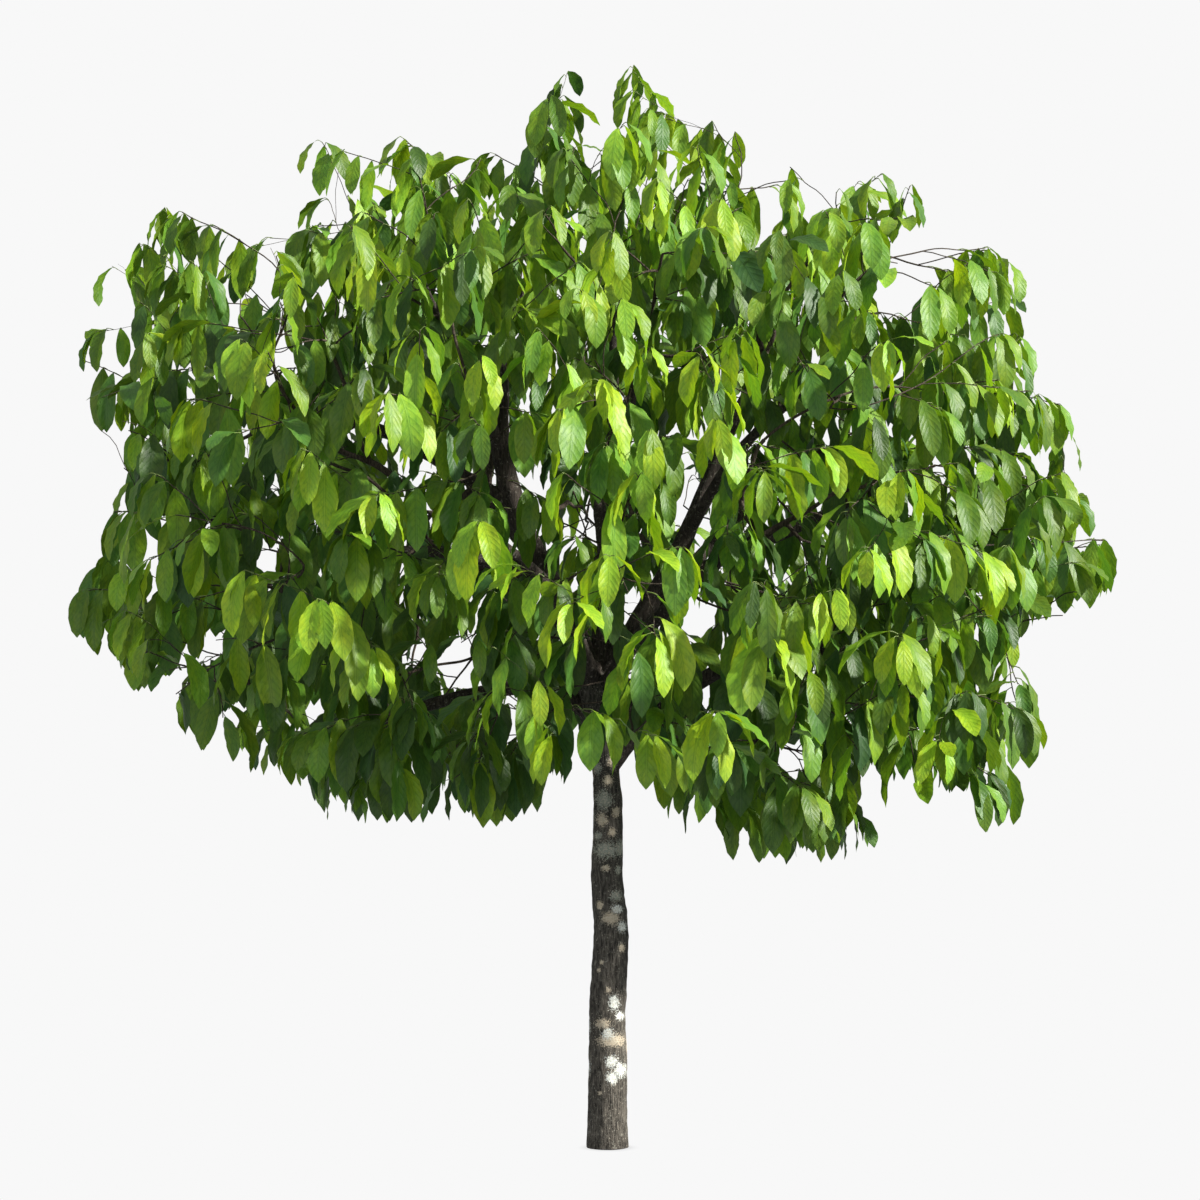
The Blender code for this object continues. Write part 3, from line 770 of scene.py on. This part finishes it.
def build_leaves(tree, shoots):
    rng = np.random.default_rng(SEED + 21)
    rows = place_leaves(tree, shoots)
    n = len(rows)
    base = np.array([r[0] for r in rows])
    d = np.array([r[1] for r in rows])
    head = np.array([r[2] for r in rows])
    length = np.array([r[3] for r in rows])
    age = np.array([r[4] for r in rows])
    fresh_and_lit = np.array([r[5] for r in rows])
    # petiole: out and up a little, then the blade droops
    stalk = rng.uniform(0.018, 0.038, n) * (length / 0.25)
    pd = unit(d * 0.55 + head * 0.75 + np.array((0, 0, 0.18)) + rng.normal(size=(n, 3)) * 0.08)
    joint = base + pd * stalk[:, None]
    pitch0 = np.radians(rng.uniform(-56, -12, n) - 16 * np.clip(age, 0, 1))
    pitch1 = np.radians(rng.uniform(-100, -78, n))
    young = rng.uniform(0, 1, n) < 0.10
    pitch0 = np.where(young, np.radians(rng.uniform(-10, 25, n)), pitch0)
    pitch1 = np.where(young, np.radians(rng.uniform(-70, -30, n)), pitch1)
    width = length * rng.uniform(0.33, 0.405, n)
    roll = rng.normal(size=n) * 0.30
    twist = rng.normal(size=n) * 0.35
    fold = np.radians(rng.uniform(7, 30, n))
    wave = rng.uniform(2.2, 4.2, n)
    phase = rng.uniform(0, 6.28, n)
    sway = rng.normal(size=n) * 0.28
    # leaf tone from where the spray sits: leaf age together with painted light and shade
    tone = np.clip(np.round(1.15 + 1.15 * fresh_and_lit + rng.normal(size=n) * 0.55), 0, 3).astype(int)
    cell = tone * CELLS + rng.integers(0, CELLS, n)
    line = centre_lines(joint, head, pitch0, pitch1, length, sway, 9)[0]
    end = line[:, -1]
    keep = edge_room(line[:, (3, 5, 8)]).min(1) > np.where(end[:, 2] < 1.95, -0.03, 0.002)
    keep &= ~in_spots(line[:, 2:], SKY_GAPS, 4, 2).any(1)
    keep &= ~(in_spots(line[:, 2:], WINDOWS, 6, 3).any(1) & (joint[:, 1] < 0.02))
    # stay clear of the trunk's lower part and inside the frame's box
    keep &= ~((np.hypot(joint[:, 0], joint[:, 1]) < 0.20) & (joint[:, 2] < 1.95))
    lo, hi = np.array(CAD_BOX[0]), np.array(CAD_BOX[1])
    keep &= (end > lo - 0.05).all(1) & (end < hi + 0.05).all(1)
    idx = np.nonzero(keep)[0]
    return dict(n=len(idx), base=base[idx], joint=joint[idx], head=head[idx],
                pitch0=pitch0[idx], pitch1=pitch1[idx], length=length[idx],
                width=width[idx], roll=roll[idx], twist=twist[idx], fold=fold[idx],
                wave=wave[idx], phase=phase[idx], sway=sway[idx], cell=cell[idx],
                shoot=np.array([r[6] for r in rows])[idx])


# ----------------------------------------------------------- materials -----
def new_material(name):
    mat = bpy.data.materials.new(name)
    mat.use_nodes = True
    nt = mat.node_tree
    nt.nodes.clear()
    return mat, nt


def node(nt, kind, label="", **values):
    n = nt.nodes.new(kind)
    for key, value in values.items():
        setattr(n, key, value)
    return n


def math_node(nt, op, a, b=None, c=None, clamp=False):
    n = nt.nodes.new("ShaderNodeMath")
    n.operation = op
    n.use_clamp = clamp
    for i, x in enumerate((a, b, c)):
        if x is None:
            continue
        if isinstance(x, (int, float)):
            n.inputs[i].default_value = x
        else:
            nt.links.new(x, n.inputs[i])
    return n.outputs[0]


def mix_colour(nt, fac, a, b, blend="MIX"):
    n = nt.nodes.new("ShaderNodeMix")
    n.data_type = "RGBA"
    n.blend_type = blend
    n.clamp_factor = True
    for sock, x in ((n.inputs[0], fac), (n.inputs[6], a), (n.inputs[7], b)):
        if isinstance(x, (int, float)):
            sock.default_value = x
        elif isinstance(x, tuple):
            sock.default_value = (*x, 1.0)
        else:
            nt.links.new(x, sock)
    return n.outputs[2]


def ramp(nt, fac, stops, interpolation="LINEAR"):
    n = nt.nodes.new("ShaderNodeValToRGB")
    n.color_ramp.interpolation = interpolation
    el = n.color_ramp.elements
    while len(el) > 1:
        el.remove(el[-1])
    el[0].position = stops[0][0]
    el[0].color = (*stops[0][1], 1.0)
    for pos, col in stops[1:]:
        e = el.new(pos)
        e.color = (*col, 1.0)
    nt.links.new(fac, n.inputs[0])
    return n.outputs[0]


def noise(nt, vector, scale, detail=3.0, rough=0.55, distortion=0.0):
    n = nt.nodes.new("ShaderNodeTexNoise")
    n.inputs["Scale"].default_value = scale
    n.inputs["Detail"].default_value = detail
    n.inputs["Roughness"].default_value = rough
    n.inputs["Distortion"].default_value = distortion
    nt.links.new(vector, n.inputs["Vector"])
    return n.outputs["Fac"]


# leaf tones from dark to light, dealt out by leaf age together with painted light: the lightest for the sunlit outside
# of the crown, the darkest for its shaded inside
LEAF_DARK = (0.040, 0.098, 0.027)
LEAF_OLD_AND_SHADED = (0.084, 0.180, 0.028)
LEAF_MID = (0.148, 0.284, 0.030)
LEAF_YOUNG_AND_LIT = (0.250, 0.420, 0.036)
LEAF_TINTS = ((0.95, 1.00, 0.60), (1.00, 0.99, 0.50), (0.80, 0.96, 0.90), (0.97, 0.92, 0.56))


def leaf_material():
    mat, nt = new_material("cacao_leaf")
    uv = nt.nodes.new("ShaderNodeUVMap")
    uv.uv_map = "OFBake"
    sep = nt.nodes.new("ShaderNodeSeparateXYZ")
    nt.links.new(uv.outputs[0], sep.inputs[0])
    u4 = math_node(nt, "MULTIPLY", sep.outputs[0], float(CELLS))
    v4 = math_node(nt, "MULTIPLY", sep.outputs[1], float(CELLS))
    row = math_node(nt, "FLOOR", v4)
    u = math_node(nt, "FRACT", u4)
    v = math_node(nt, "FRACT", v4)
    across = math_node(nt, "ABSOLUTE", math_node(nt, "MULTIPLY",
                       math_node(nt, "SUBTRACT", u, 0.5), 2.27))
    length = math_node(nt, "MULTIPLY", math_node(nt, "SUBTRACT", v, 0.04), 1.087)
    # tone by the cell's row: leaf age together with painted light, from the shaded inside of the crown to its sunlit
    # outside
    tone = ramp(nt, math_node(nt, "MULTIPLY", row, 0.25),
                ((0.0, LEAF_DARK), (0.2, LEAF_OLD_AND_SHADED), (0.45, LEAF_MID), (0.7, LEAF_YOUNG_AND_LIT)),
                "CONSTANT")
    # side veins leave the midrib at an angle and sweep up to the margin
    sweep = math_node(nt, "MULTIPLY", math_node(nt, "POWER", across, 1.25), 0.27)
    q = math_node(nt, "MULTIPLY", math_node(nt, "SUBTRACT", length, sweep), 8.0)
    saw = math_node(nt, "ABSOLUTE", math_node(nt, "SUBTRACT", math_node(nt, "FRACT", q), 0.5))
    # saw is 0.5 on a vein and 0 half way between two of them
    vein = math_node(nt, "SMOOTH_MIN", 1.0, math_node(nt, "MULTIPLY", math_node(
        nt, "SUBTRACT", saw, 0.43, clamp=True), 14.0), 0.02)
    vein = math_node(nt, "MULTIPLY", vein, math_node(nt, "SUBTRACT", 1.15, across, clamp=True))
    rib = math_node(nt, "SUBTRACT", 1.0, math_node(nt, "MULTIPLY", across, 26.0), clamp=True)
    lines = math_node(nt, "MAXIMUM", vein, rib)
    blotch = noise(nt, uv.outputs[0], 9.0, 3.0, 0.6)
    tint = ramp(nt, math_node(nt, "MULTIPLY", math_node(nt, "FLOOR", u4), 0.25),
                tuple(zip((0.0, 0.2, 0.45, 0.7), LEAF_TINTS)), "CONSTANT")
    tone = mix_colour(nt, 1.0, tone, tint, "MULTIPLY")
    warm = mix_colour(nt, 1.0, tone, (1.55, 1.20, 0.80), "MULTIPLY")
    pale = mix_colour(nt, 1.0, tone, (1.90, 1.55, 2.20), "MULTIPLY")
    # a darker tone, used for random mottling and for painted shade in the creases of the veins
    deep = mix_colour(nt, 1.0, tone, (0.52, 0.62, 0.60), "MULTIPLY")
    colour = mix_colour(nt, math_node(nt, "MULTIPLY", math_node(
        nt, "SUBTRACT", blotch, 0.40, clamp=True), 3.0), tone, warm)
    # painted shade: the blade darker towards each sunken side vein, as shade in the creases
    colour = mix_colour(nt, math_node(nt, "MULTIPLY", math_node(
        nt, "SUBTRACT", saw, 0.26, clamp=True), 1.0), colour, deep)
    colour = mix_colour(nt, math_node(nt, "MULTIPLY", math_node(
        nt, "SUBTRACT", across, 0.62, clamp=True), 1.3), colour, warm)
    mottle = noise(nt, uv.outputs[0], 34.0, 4.0, 0.65)
    colour = mix_colour(nt, math_node(nt, "MULTIPLY", math_node(
        nt, "SUBTRACT", mottle, 0.50, clamp=True), 4.2), colour, deep)
    # painted shade along the sunken side veins
    colour = mix_colour(nt, math_node(nt, "MULTIPLY", vein, 0.38), colour, deep)
    # painted shade in the groove beside the midrib
    groove_shade = math_node(nt, "MULTIPLY", math_node(nt, "SUBTRACT", 0.15, across, clamp=True), 4.5)
    colour = mix_colour(nt, groove_shade, colour, deep)
    colour = mix_colour(nt, math_node(nt, "MULTIPLY", rib, 0.60), colour, pale)
    # relief: the blade swells between the veins
    swell = math_node(nt, "SUBTRACT", 1.0, math_node(nt, "POWER", math_node(
        nt, "MULTIPLY", saw, 2.0), 2.2))
    swell = math_node(nt, "MULTIPLY", swell, math_node(nt, "MINIMUM", math_node(
        nt, "MULTIPLY", across, 6.0), 1.0))
    net = noise(nt, uv.outputs[0], 150.0, 2.0, 0.6)
    height = math_node(nt, "ADD", math_node(nt, "MULTIPLY", swell, 0.50),
                       math_node(nt, "MULTIPLY", net, 0.45))
    bump = nt.nodes.new("ShaderNodeBump")
    bump.inputs["Strength"].default_value = 0.50
    bump.inputs["Distance"].default_value = 0.0030
    nt.links.new(height, bump.inputs["Height"])
    bsdf = nt.nodes.new("ShaderNodeBsdfPrincipled")
    bsdf.inputs["Roughness"].default_value = 0.47
    bsdf.inputs["Specular IOR Level"].default_value = 0.38
    nt.links.new(colour, bsdf.inputs["Base Color"])
    nt.links.new(bump.outputs[0], bsdf.inputs["Normal"])
    glow = nt.nodes.new("ShaderNodeBsdfTranslucent")
    through = mix_colour(nt, 1.0, colour, (1.25, 1.20, 0.40), "MULTIPLY")
    nt.links.new(through, glow.inputs["Color"])
    nt.links.new(bump.outputs[0], glow.inputs["Normal"])
    mix = nt.nodes.new("ShaderNodeMixShader")
    mix.inputs[0].default_value = 0.34
    nt.links.new(bsdf.outputs[0], mix.inputs[1])
    nt.links.new(glow.outputs[0], mix.inputs[2])
    out = nt.nodes.new("ShaderNodeOutputMaterial")
    nt.links.new(mix.outputs[0], out.inputs[0])
    return mat


# crusts of lichen on the front of the trunk: centre and half sizes in the
# front view, and kind: 0 sage grey, 1 tan and cream, 2 white to mint
CRUSTS = (
    (604, 800, 8, 9, 0), (602, 820, 5, 6, 1), (606, 850, 12, 8, 0), (620, 848, 5, 8, 0),
    (612, 832, 4, 4, 1), (616, 812, 4, 5, 1), (598, 836, 4, 4, 0), (611, 918, 8, 6, 1),
    (616, 896, 6, 5, 0), (617, 909, 5, 4, 2), (622, 927, 4, 5, 2), (600, 905, 3, 4, 1),
    (614, 1003, 5, 7, 2), (620, 1016, 4, 4, 2), (603, 1024, 7, 5, 1), (612, 1040, 13, 6, 1),
    (608, 1034, 6, 5, 2), (612, 1062, 6, 6, 2), (620, 1070, 6, 7, 2), (612, 1078, 5, 6, 2),
    (602, 962, 2, 2, 1), (599, 970, 2, 2, 1), (600, 1093, 2, 2, 1), (608, 780, 5, 5, 1),
    (598, 768, 4, 6, 0), (612, 762, 4, 5, 1), (606, 868, 4, 3, 1), (618, 870, 3, 4, 0),
    (622, 948, 3, 4, 1), (608, 990, 3, 3, 1),
)


def crust_masks(p):
    """Strength of each kind of crust at points of the trunk."""
    out = np.zeros((len(p), 3))
    px = to_px(p)
    front = p[:, 1] < 0.03
    for x, y, rx, ry, kind in CRUSTS:
        d = np.sqrt(((px[:, 0] - x) / rx) ** 2 + ((px[:, 1] - y) / ry) ** 2)
        out[:, kind] = np.maximum(out[:, kind], np.where(front, np.clip(1 - 0.5 * d, 0, 1), 0))
    rng = np.random.default_rng(SEED + 40)
    for _ in range(70):
        h = rng.choice((rng.uniform(0.25, 0.70), rng.uniform(0.9, 1.15),
                        rng.uniform(1.2, 1.8), rng.uniform(1.3, 2.1)))
        a = rng.uniform(-0.05, math.pi + 0.05)
        c = trunk_path(h) + trunk_radius(h) * np.array((math.cos(a), math.sin(a), 0))
        size = rng.uniform(0.010, 0.042)
        kind = rng.integers(0, 3) if h < 0.8 else rng.choice((0, 0, 1))
        d = np.linalg.norm((p - c) * np.array((1, 1, 0.8)), axis=1) / size
        out[:, kind] = np.maximum(out[:, kind], np.clip(1 - 0.5 * d, 0, 1))
    return out


def bark_material(name, dark, light, lichen, crusts=False):
    mat, nt = new_material(name)
    tc = nt.nodes.new("ShaderNodeTexCoord")
    mp = nt.nodes.new("ShaderNodeMapping")
    mp.inputs["Scale"].default_value = (1.0, 1.0, 0.16)
    nt.links.new(tc.outputs["Object"], mp.inputs[0])
    grain = noise(nt, mp.outputs[0], 130.0, 5.0, 0.65, 0.4)
    broad = noise(nt, tc.outputs["Object"], 9.0, 4.0, 0.6)
    fleck = noise(nt, tc.outputs["Object"], 60.0, 3.0, 0.7)
    colour = ramp(nt, grain, ((0.36, dark), (0.66, light)))
    colour = mix_colour(nt, math_node(nt, "MULTIPLY", math_node(
        nt, "SUBTRACT", broad, 0.42, clamp=True), 2.0), colour,
        tuple(c * 0.55 for c in dark))
    if crusts:
        place = nt.nodes.new("ShaderNodeSeparateXYZ")
        nt.links.new(tc.outputs["Object"], place.inputs[0])
        low = math_node(nt, "MULTIPLY", math_node(nt, "SUBTRACT", 1.0, place.outputs[2],
                                                  clamp=True), 1.8, clamp=True)
        colour = mix_colour(nt, low, colour, mix_colour(nt, 1.0, colour, (1.22, 1.20, 1.18),
                                                        "MULTIPLY"))
        at = nt.nodes.new("ShaderNodeAttribute")
        at.attribute_name = "crust"
        kinds = nt.nodes.new("ShaderNodeSeparateColor")
        nt.links.new(at.outputs["Color"], kinds.inputs[0])
        ragged = noise(nt, tc.outputs["Object"], 120.0, 8.0, 0.80)
        inner = noise(nt, tc.outputs["Object"], 230.0, 3.0, 0.7)
        for k, (a, b) in enumerate((((0.16, 0.17, 0.13), (0.34, 0.36, 0.31)),
                                    ((0.30, 0.24, 0.16), (0.60, 0.52, 0.40)),
                                    ((0.44, 0.48, 0.43), (0.86, 0.87, 0.83)))):
            m = math_node(nt, "ADD", kinds.outputs[k], math_node(
                nt, "MULTIPLY", math_node(nt, "SUBTRACT", ragged, 0.5), 3.0))
            m = math_node(nt, "MULTIPLY", math_node(nt, "SUBTRACT", m, 0.52, clamp=True), 22.0,
                          clamp=True)
            colour = mix_colour(nt, m, colour, ramp(nt, inner, ((0.32, a), (0.68, b))))
        near = math_node(nt, "ADD", math_node(nt, "ADD", kinds.outputs[0], kinds.outputs[1]),
                         kinds.outputs[2], clamp=True)
        speck = noise(nt, tc.outputs["Object"], 170.0, 3.0, 0.6)
        m = math_node(nt, "ADD", speck, math_node(nt, "MULTIPLY", near, 0.14))
        m = math_node(nt, "MULTIPLY", math_node(nt, "SUBTRACT", m, 0.665, clamp=True), 30.0,
                      clamp=True)
        colour = mix_colour(nt, m, colour, (0.42, 0.38, 0.30))
    if lichen:
        spot = math_node(nt, "MULTIPLY", math_node(nt, "SUBTRACT", fleck, 0.585, clamp=True), 9.0,
                         clamp=True)
        colour = mix_colour(nt, math_node(nt, "MULTIPLY", spot, 0.5), colour,
                            (0.30, 0.29, 0.24))
    bump = nt.nodes.new("ShaderNodeBump")
    bump.inputs["Strength"].default_value = 1.0
    bump.inputs["Distance"].default_value = 0.008
    crumb = noise(nt, tc.outputs["Object"], 190.0, 4.0, 0.7)
    nt.links.new(math_node(nt, "ADD", grain, math_node(nt, "MULTIPLY", crumb, 0.45)),
                 bump.inputs["Height"])
    bsdf = nt.nodes.new("ShaderNodeBsdfPrincipled")
    bsdf.inputs["Roughness"].default_value = 0.9
    bsdf.inputs["Specular IOR Level"].default_value = 0.2
    nt.links.new(colour, bsdf.inputs["Base Color"])
    nt.links.new(bump.outputs[0], bsdf.inputs["Normal"])
    out = nt.nodes.new("ShaderNodeOutputMaterial")
    nt.links.new(bsdf.outputs[0], out.inputs[0])
    return mat


def piece(name, mesh, mat, nodes):
    obj = bpy.data.objects.new(name, mesh)
    bpy.context.scene.collection.objects.link(obj)
    mesh.materials.append(mat)
    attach(obj, "root")
    if nodes:
        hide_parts(*nodes)
    return obj


# --------------------------------------------------------------- stage -----
def stage():
    mat, nt = new_material("pale_floor")
    em = nt.nodes.new("ShaderNodeEmission")
    em.inputs[0].default_value = (1, 1, 1, 1)
    where = nt.nodes.new("ShaderNodeNewGeometry")
    span = nt.nodes.new("ShaderNodeVectorMath")
    span.operation = "LENGTH"
    nt.links.new(where.outputs["Position"], span.inputs[0])
    # painted contact shadow: the floor glows less within about 0.16 m of the trunk's foot
    close = math_node(nt, "SUBTRACT", 1.0, math_node(nt, "MULTIPLY", math_node(
        nt, "SUBTRACT", span.outputs["Value"], 0.085, clamp=True), 14.0), clamp=True)
    nt.links.new(math_node(nt, "SUBTRACT", 0.9387, math_node(
        nt, "MULTIPLY", math_node(nt, "POWER", close, 2.0), 0.22)), em.inputs[1])
    out = nt.nodes.new("ShaderNodeOutputMaterial")
    nt.links.new(em.outputs[0], out.inputs[0])
    # a floor that turns up into a wall all round
    bag = Bag()
    seg, prof = 96, []
    for i in range(13):
        prof.append((60.0 * i / 12 if i else 0.001, -0.002))
    for i in range(1, 13):
        a = math.radians(90 * i / 12)
        prof.append((60 + 20 * math.sin(a), -0.002 + 20 * (1 - math.cos(a))))
    prof.append((80, 60))
    prof.append((50, 95))
    prof.append((0.001, 105))
    prof = np.array(prof)
    k = np.arange(seg) * 2 * np.pi / seg
    v = np.stack((prof[:, None, 0] * np.cos(k), prof[:, None, 0] * np.sin(k),
                  prof[:, None, 1] * np.ones(seg)), -1).reshape(-1, 3)
    i, j = np.meshgrid(np.arange(len(prof) - 1), np.arange(seg), indexing="ij")
    jn = (j + 1) % seg
    f4 = np.stack((i * seg + j, (i + 1) * seg + j, (i + 1) * seg + jn,
                   i * seg + jn), -1).reshape(-1, 4)
    bag.add(v, None, f4)
    floor = bpy.data.objects.new("floor", bag.mesh("floor"))
    floor.data.materials.append(mat)
    bpy.context.scene.collection.objects.link(floor)
    floor.visible_diffuse = False
    floor.visible_glossy = False
    floor.visible_transmission = False
    floor.visible_shadow = False

    world = bpy.data.worlds.new("studio")
    bpy.context.scene.world = world
    world.use_nodes = True
    bg = next(n for n in world.node_tree.nodes if n.type == "BACKGROUND")
    bg.inputs[0].default_value = (0.93, 0.97, 1.0, 1.0)
    bg.inputs[1].default_value = 0.56

    def sun(name, az, el, strength, angle, colour):
        data = bpy.data.lights.new(name, "SUN")
        data.energy = strength
        data.angle = math.radians(angle)
        data.color = colour
        obj = bpy.data.objects.new(name, data)
        a, e = math.radians(az), math.radians(el)
        d = Vector((math.cos(e) * math.cos(a), math.cos(e) * math.sin(a), math.sin(e)))
        obj.rotation_euler = d.to_track_quat("Z", "Y").to_euler()
        obj.location = d * 12
        bpy.context.scene.collection.objects.link(obj)

    sun("key", -18, 31, 9.7, 2.5, (1.0, 0.975, 0.92))
    sun("fill", -108, 8, 0.55, 40.0, (0.97, 0.98, 1.0))

    cam = bpy.data.cameras.new("camera")
    cam.lens = 36.0 * -EYE[1] / (1200 * PX)
    cam.sensor_width = 36.0
    cam.clip_end = 400
    obj = bpy.data.objects.new("camera", cam)
    obj.location = EYE
    obj.rotation_euler = (math.radians(90), 0, 0)
    bpy.context.scene.collection.objects.link(obj)
    bpy.context.scene.camera = obj
    bpy.context.scene.view_settings.view_transform = "Standard"


# ---------------------------------------------------------------- bark -----
def fbm(p, seed, octaves=3):
    """Smooth seeded unevenness from summed waves, about -1 to 1."""
    r = np.random.default_rng(seed)
    out = np.zeros(p.shape[:-1])
    amp, freq, total = 1.0, 1.0, 0.0
    for _ in range(octaves):
        for _ in range(5):
            k = r.normal(size=3)
            k = k / np.linalg.norm(k) * freq * r.uniform(0.7, 1.3)
            out += amp * np.sin(p @ k * 2 * np.pi + r.uniform(0, 6.28)) / 5 * 1.6
        total += amp
        amp *= 0.55
        freq *= 2.1
    return out / total


def trunk_mesh():
    around, rows = 96, 400
    heights = np.linspace(0, TRUNK_TOP + 0.03, rows)
    k = np.arange(around) * 2 * np.pi / around
    rng = random.Random(SEED)
    swing = [rng.uniform(0, 6.28) for _ in range(3)]
    mid = np.array([trunk_path(h) for h in heights])
    rad = np.array([trunk_radius(min(h, TRUNK_TOP)) for h in heights])
    rad[-8:] *= np.cos(np.linspace(0, 1.3, 8))
    h = heights[:, None]
    uneven = (1.0 + 0.022 * np.sin(2 * k + swing[0] + 2.1 * h)
              + 0.016 * np.sin(3 * k + swing[1] - 3.3 * h)
              + 0.012 * np.sin(5.3 * h + swing[2] + k))
    ring = np.stack((np.cos(k), np.sin(k), 0 * k), -1)
    p = mid[:, None, :] + ring[None] * (rad[:, None] * uneven)[..., None]
    q = p * np.array((1, 1, 0.14))
    relief = 0.0019 * fbm(q * 26, 5, 3) + 0.0014 * fbm(q * 70, 6, 2) \
        + 0.0032 * fbm(p * 8, 7, 3)
    p = p + ring[None] * relief[..., None]
    p[0, :, 2] = 0.0
    v = p.reshape(-1, 3)
    i, j = np.meshgrid(np.arange(rows - 1), np.arange(around), indexing="ij")
    jn = (j + 1) % around
    f4 = np.stack((i * around + j, i * around + jn, (i + 1) * around + jn,
                   (i + 1) * around + j), -1).reshape(-1, 4)
    top = len(v)
    q = np.arange(around)
    f3 = np.concatenate((
        np.stack((q, np.full(around, top), (q + 1) % around), -1)[:, [0, 1, 2]],
        np.stack(((rows - 1) * around + q, (rows - 1) * around + (q + 1) % around,
                  np.full(around, top + 1)), -1)))
    v = np.concatenate((v, mid[:1] * np.array((1, 1, 0)), mid[-1:] + np.array((0, 0, 0.004))))
    bag = Bag()
    bag.add(v, f3, f4)
    mesh = bag.mesh("trunk_bark")
    masks = np.ones((len(v), 4))
    masks[:, :3] = crust_masks(v)
    layer = mesh.color_attributes.new("crust", "FLOAT_COLOR", "POINT")
    layer.data.foreach_set("color", masks.astype(np.float32).ravel())
    return mesh


def main():
    tree, shoots = grow()
    give_radii(tree)
    nodes = sorted(frame["nodes"])
    masses = [n for n in nodes if n.startswith("leaves_")]
    limbs = [n for n in nodes if n.startswith("bough_")]

    bark = bark_material("trunk_bark", (0.014, 0.0125, 0.0105), (0.122, 0.110, 0.092), True, True)
    dark_bark = bark_material("bough_bark", (0.014, 0.011, 0.009), (0.078, 0.063, 0.052), True)
    twig_bark = bark_material("twig_bark", (0.022, 0.016, 0.012), (0.10, 0.078, 0.058), False)
    leaf = leaf_material()

    piece("trunk_bark", trunk_mesh(), bark, ["trunk"])

    bag = Bag()
    for c in tree.chains:
        if c["level"] == 1:
            pts, rad = thin_out(c["p"], c["r"], 0.016)
            seed = len(bag.v) + 30

            def relief(points, k, radii, seed=seed):
                ring = np.stack((np.cos(k), np.sin(k), 0 * k), -1) * 0.05
                p = points[:, None, :] * 0.35 + ring[None]
                return radii[:, None] * (0.07 * fbm(p * 22, seed, 3)
                                         + 0.05 * fbm(points[:, None, :] * 6 + 0 * ring[None],
                                                      seed + 1, 2))
            tube(bag, pts, rad, 20, relief=relief)
    piece("bough_bark", bag.mesh("bough_bark"), dark_bark, limbs)

    bag = Bag()
    for c in tree.chains:
        if c["level"] == 2:
            pts, rad = thin_out(c["p"], c["r"], 0.035)
            tube(bag, pts, rad, 8)
    piece("branches", bag.mesh("branches"), twig_bark, [])

    # shoots, but none that has lost all of its leaves to a gap
    L = build_leaves(tree, shoots)
    leafy = set(L["shoot"].tolist())
    bag = Bag()
    for k, c in enumerate(tree.chains):
        if c["level"] == 3 and (k in leafy or c["kids"]):
            pts, rad = thin_out(c["p"], c["r"], 0.05)
            tube(bag, pts, rad, 5)
    n = L["n"]
    # stalks of the leaves
    stalk = Bag()
    for i in range(n):
        a, b = L["base"][i], L["joint"][i]
        hang = np.array((L["head"][i][0] * math.cos(L["pitch0"][i]),
                         L["head"][i][1] * math.cos(L["pitch0"][i]),
                         math.sin(L["pitch0"][i])))
        mid = a * 0.45 + b * 0.55 + np.array((0, 0, 0.002))
        pts = np.array((a, mid, b, b + hang * 0.012))
        r = 0.0021 * L["length"][i] / 0.25
        tube(stalk, pts, np.array((r * 1.25, r * 0.85, r * 1.15, r * 0.5)), 4, cap=False)
    piece("shoots", bag.mesh("shoots"), twig_bark, [])
    green, nt = new_material("leaf_stalk")
    bs = nt.nodes.new("ShaderNodeBsdfPrincipled")
    bs.inputs["Base Color"].default_value = (0.09, 0.13, 0.02, 1)
    bs.inputs["Roughness"].default_value = 0.6
    out = nt.nodes.new("ShaderNodeOutputMaterial")
    nt.links.new(bs.outputs[0], out.inputs[0])
    piece("leaf_stalks", stalk.mesh("leaf_stalks"), green, [])

    # leaves in pieces by height
    order = np.argsort(L["joint"][:, 2], kind="stable")
    parts = 4
    tris = 0
    for k in range(parts):
        idx = order[k * n // parts:(k + 1) * n // parts]
        bag = Bag()
        per = leaf_meshes(bag, L["joint"][idx], L["head"][idx], L["pitch0"][idx],
                          L["pitch1"][idx], L["length"][idx], L["width"][idx],
                          L["roll"][idx], L["twist"][idx], L["fold"][idx],
                          L["wave"][idx], L["phase"][idx], L["sway"][idx], L["cell"][idx])
        tris += per * len(idx)
        mine = masses[k * len(masses) // parts:(k + 1) * len(masses) // parts]
        piece("leaves_%d" % (k + 1), bag.mesh("leaves_%d" % (k + 1), "OFBake"), leaf,
              mine)
    print("SHOOTS", len(shoots), "LEAVES", n, "LEAF TRIS", tris, "CHAINS",
          [sum(c["level"] == l for c in tree.chains) for l in range(4)])
    stage()


main()
